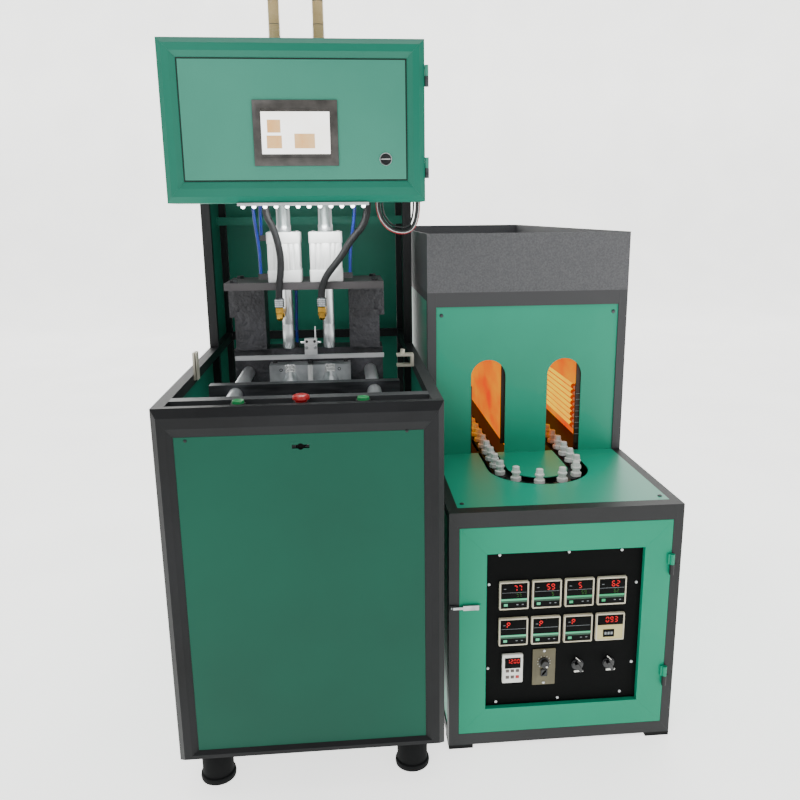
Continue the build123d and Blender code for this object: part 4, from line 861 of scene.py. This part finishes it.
timer = gather("timer_rim", "oven_door", meter_cream, [timer])
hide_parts("panel_timer")
window = easedged((749.2, 119.1, 370.8), (813.3, 120.2, 436.2), 0.3)
windows = copies(window, bezel_shifts + [timer_shift])
gather("meter_windows", "oven_door", window_black, windows)
for name, material, low, high, edge in (
        ("meter_bands", mint_band, (749.6, 118.7, 391), (812.9, 119.4, 395.6), 0.2),
        ("meter_strips", dark_band, (749.6, 118.8, 386.4), (812.9, 119.4, 390.8), 0.2),
        ("meter_set_keys", mint_band, (757, 118.7, 376.5), (766, 119.4, 383), 0.3)):
    gather(name, "oven_door", material, copies(easedged(low, high, edge), bezel_shifts))
arrow_key = easedged((787, 118.8, 379), (792, 119.4, 381), 0.3)
divider = easedged((752, 118.8, 411.2), (811, 119.4, 411.9), 0.1)
unit_mark = easedged((756, 118.8, 421), (762, 119.4, 422.2), 0.2)
marks = []
for mark in (arrow_key, divider, unit_mark) + tuple(copies(arrow_key, [(13, 0, 0)])[1:]):
    marks += copies(mark, bezel_shifts)
gather("meter_marks", "oven_door", mark_grey, marks)

segments = {"0": "abcdef", "1": "bc", "2": "abged", "3": "abgcd", "5": "afgcd", "6": "afgedc", "7": "abc",
            "9": "abcdfg", "P": "abefg"}


def digits(text, right_edge, low, high, front_y):
    """Seven-segment figures set flush right, as thin bars in millimetres."""
    wide = (high - low) * 0.55
    pitch = wide * 1.35
    bar = (high - low) * 0.12
    middle = (low + high) / 2
    made = []
    for back, sign in enumerate(reversed(text)):
        x1 = right_edge - back * pitch
        x0 = x1 - wide
        places = {"a": (x0 + bar, x1 - bar, high - bar, high), "d": (x0 + bar, x1 - bar, low, low + bar),
                  "g": (x0 + bar, x1 - bar, middle - bar / 2, middle + bar / 2),
                  "b": (x1 - bar, x1, middle + bar, high - bar), "c": (x1 - bar, x1, low + bar, middle - bar),
                  "f": (x0, x0 + bar, middle + bar, high - bar), "e": (x0, x0 + bar, low + bar, middle - bar)}
        for letter in segments[sign]:
            left_x, right_x, low_z, high_z = places[letter]
            made.append(easedged((left_x, front_y - 0.4, low_z), (right_x, front_y + 0.4, high_z), 0.1))
    return made


digit_y = 119.1
red_bars = []
green_bars = []
for column, upper, lower in zip(meter_columns, ("77", "59", "5", "62"), ("77", "5", "59", "62")):
    shift = 18.5 if len(upper) > 1 else 5
    red_bars += digits(upper, column + shift, 415, 430, digit_y)
    green_bars += digits(lower, column + 17, 399, 408.5, digit_y)
for column in meter_columns[:3]:
    red_bars += digits("P", column - 8, 319, 334, digit_y)
red_bars += digits("093", meter_columns[3] + 18, 320.5, 335, digit_y)
gather("meter_red_digits", "oven_door", red_digit, red_bars)
gather("meter_green_digits", "oven_door", green_digit, green_bars)
timer_face = easedged((988.3, 118.5, 275.2), (1052.4, 120.2, 313.5), 0.4)
gather("timer_face", "oven_door", timer_cream, [timer_face])
wheel_block = recess(easedged((1003, 117.6, 281.5), (1031, 119, 302), 0.5), forward, 2, 0.6)
gather("timer_block", "oven_door", window_black, [wheel_block])
wheel_mark = easedged((1007, 117.8, 288), (1012, 118.4, 295), 0.2)
gather("timer_wheel_marks", "oven_door", mark_grey,
       copies(wheel_mark, [(7.5, 0, 0), (15, 0, 0)]))

# Keypad and speed plate
# A white speed controller with a small red display and six keys, one of them red.
# Beside it two screws hold an olive plate with a black knob, a ring of dial marks and a square black switch.


def turned_about(middle, angle):
    """Turn the piece that was made last about a place, by degrees in the plane of the panel."""
    bpy.ops.transform.rotate(value=math.radians(angle), orient_axis="Y", center_override=middle)
    bpy.ops.object.transform_apply(location=True, rotation=True, scale=True)


pad_white = surface("pad_white", "D6D4CC", "EDECE6", 0.45, patch=20)
olive_plate = surface("olive_plate", "4A4530", "5C563E", 0.45, patch=16, metal=0.2)
pad_block = easedged((755.2, 117, 172), (806.2, 126, 248), 1.2, 3, 1)
pad_piece = gather("keypad_case", "oven_door", pad_white, [pad_block])
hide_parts("panel_devices")
pad_window = easedged((761.4, 116.6, 211.5), (800.4, 118, 240), 0.4)
gather("keypad_window", "oven_door", window_black, [pad_window])
key_brown = surface("key_brown", "4A403C", "5E534E", 0.5, patch=30)
pad_key = easedged((763.8, 116.4, 200.8), (772.6, 118, 209), 0.6, 1.2, 1)
gather("keypad_keys", "oven_door", key_brown,
       copies(pad_key, [(12.2, 0, 0), (24.6, 0, 0), (0, 0, -17), (12.2, 0, -17)]))
red_key = easedged((788.4, 116.4, 183.8), (797.2, 118, 192), 0.6, 1.2, 1)
gather("keypad_stop_key", "oven_door", red_cap, [red_key])
gather("keypad_digits", "oven_door", red_digit, digits("1200", 797.5, 225, 236, 116.7))
speed_plate = easedged((831.3, 123, 158), (888.3, 126, 256), 0.8, 2, 1)
gather("speed_plate", "oven_door", olive_plate, [speed_plate])
dial_x = 859.8
dial_place = spot(dial_x, 123, 220)
plate_screw = turned([(3.2, 0), (3.2, 1), (2.4, 1.8), (1.2, 2)], spot(dial_x, 123, 250.5), to_front, 16)
gather("speed_plate_screws", "oven_door", screw_white, copies(plate_screw, [(0, 0, -86.5)]))
switch = recess(easedged((852, 119, 183), (868, 123.2, 202), 0.6, 1, 1), forward, 2, 0.8)
gather("speed_switch", "oven_door", black_plastic, [switch])
dial_marks = []
for angle in range(-135, 136, 27):
    dial_mark = easedged((859.4, 122.6, 234.5), (860.2, 123.2, 237), 0.1)
    turned_about(dial_place, angle)
    dial_marks.append(dial_mark)
gather("speed_marks", "oven_door", pad_white, dial_marks)
knob = turned([(13, 0.3), (13, 3), (10.4, 4), (10, 14), (9, 15.3), (6, 15.3), (5.6, 14.8)], dial_place,
              to_front, 24)
knob = gather("speed_knob_grip", "speed_dial", black_plastic, [knob])
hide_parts("speed_knob")
knob_dot = turned([(2.6, 0), (2.6, 0.8), (2.2, 1)], spot(863.3, 108, 215.2), to_front, 16)
gather("speed_knob_mark", "speed_dial", pad_white, [knob_dot])

# Rotary selectors
# Two black selector heads: a dark ring in the panel, a skirt and a slanting grip with a white line, partly
# its pointer and partly a painted highlight along the grip's top.
# A blank white tag is stuck on the panel under each of them.
grip_black = surface("grip_black", "0B0C0D", "17181A", 0.22, patch=30)
for side, middle in (("left", 944.5), ("right", 1023)):
    selector_place = spot(middle, 126, 207)
    ring = turned([(15, 0.3), (15, 2.4), (14, 3)], selector_place, to_front, 32)
    ring = gather("selector_ring_" + side, "select_" + side, stem_black, [ring])
    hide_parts("selector_" + side)
    skirt = turned([(13.6, 2.6), (13.6, 5), (12.6, 6), (11.6, 6.4)], selector_place, to_front, 32)
    grip = easedged((middle - 4.4, 105.8, 195.4), (middle + 4.4, 121, 219.8), 1.4)
    turned_about(spot(middle, 115, 207), 32)
    gather("selector_grip_" + side, "select_" + side, grip_black, [skirt, grip])
    # The white line is partly the pointer print and partly a painted highlight along the grip's top.
    line = easedged((middle - 1.7, 118.5, 215.5), (middle + 0.5, 120, 231.5), 0.3)
    turned_about(spot(middle - 0.6, 119, 223.5), 45)
    gather("selector_mark_" + side, "select_" + side, pad_white, [line])
tag = easedged((937, 125.4, 185), (960, 126.2, 190), 0.1)
gather("selector_tags", "oven_door", pad_white, copies(tag, [(80.5, 0, 0)]))

# Door latch
# A plated draw latch: the lever on the door hooks a keeper on the frame.
# Two rivets hold the keeper.
dress(zinc_steel, "latch_lever")
rivet = turned([(2.4, 0), (2.4, 0.6), (1.4, 1.4)], spot(629.5, 109, 384), to_front, 12)
gather("keeper_rivets", "machine", zinc_steel, copies(rivet, [(7, 0, 0)]))

# Floor, light and camera
# A pale studio floor curves up into a backdrop, in soft light from the front, the sides and above.
# The camera stands where the photograph was taken.
floor_pale = surface("floor_pale", "F0F0EE", "F6F6F4", 0.8, patch=2, shine=0.1)
nodes = floor_pale.node_tree.nodes
links = floor_pale.node_tree.links
links.new(nodes["Color Ramp"].outputs["Color"], nodes["Principled BSDF"].inputs["Emission Color"])
nodes["Principled BSDF"].inputs["Emission Strength"].default_value = 2.0
bpy.ops.object.select_all(action="DESELECT")
bpy.ops.mesh.primitive_plane_add(size=1, location=(0, 0, 0))
floor = bpy.context.object
floor.name = "studio_floor"
floor.scale = (40, 24, 1)
floor.location = (0, -3, 0)
bpy.ops.object.transform_apply(location=True, rotation=True, scale=True)
bpy.ops.object.mode_set(mode="EDIT")
floor_end = 8
backdrop_high = 16
backdrop_curve = 3
pick(floor, "EDGE", lambda line: all(vertex.co.y > floor_end for vertex in line.verts))
bpy.ops.mesh.extrude_region_move(TRANSFORM_OT_translate={"value": (0, 0, backdrop_high)})
pick(floor, "EDGE", lambda line: all(vertex.co.y > floor_end and vertex.co.z < 1 for vertex in line.verts))
bpy.ops.mesh.bevel(offset=backdrop_curve, segments=16, affect="EDGES")
bpy.ops.mesh.select_mode(type="VERT")
bpy.ops.mesh.select_all(action="DESELECT")
bpy.ops.object.mode_set(mode="OBJECT")
bpy.ops.object.shade_smooth()
floor.data.materials.append(floor_pale)
world = bpy.data.worlds.new("studio")
world.use_nodes = True
sky = world.node_tree.nodes["Background"]
sky.inputs["Color"].default_value = (1, 1, 1, 1)
sky.inputs["Strength"].default_value = 0.45
bpy.context.scene.world = world
for name, place, target, size, power in (
        ("key_light", (-2.6, -4.2, 3.6), (0, -0.4, 0.9), 2.5, 60),
        ("fill_light", (3.2, -3.8, 2.4), (0.2, -0.4, 0.7), 3.0, 30),
        ("top_light", (0, -0.6, 4.2), (0, -0.4, 0.6), 3.0, 60),
        ("strip_light", (-0.28, -0.67, 1.3), (-0.28, -0.5, 1.0), 0.2, 1.8)):
    lamp = bpy.data.lights.new(name, "AREA")
    lamp.shape = "DISK"
    lamp.size = size
    lamp.energy = power
    light = bpy.data.objects.new(name, lamp)
    bpy.context.collection.objects.link(light)
    light.location = place
    light.rotation_euler = (Vector(target) - Vector(place)).to_track_quat("-Z", "Y").to_euler()
    light.visible_camera = False
yaw = 0.087
pitch = 0.233
roll = 0.010
ahead = Vector((math.sin(yaw) * math.cos(pitch), math.cos(yaw) * math.cos(pitch), -math.sin(pitch)))
level = Vector((math.cos(yaw), -math.sin(yaw), 0))
down = ahead.cross(level)
across = level * math.cos(roll) + down * math.sin(roll)
up = level * math.sin(roll) - down * math.cos(roll)
lens = bpy.data.cameras.new("camera")
lens.lens = 35.35
lens.sensor_width = 36
lens.shift_x = -0.0175
camera = bpy.data.objects.new("camera", lens)
bpy.context.collection.objects.link(camera)
facing = Matrix((across, up, -ahead)).transposed().to_4x4()
camera_place = (-0.19275, -2.57347, 1.29191)
camera.matrix_world = Matrix.Translation(camera_place) @ facing
bpy.context.scene.camera = camera
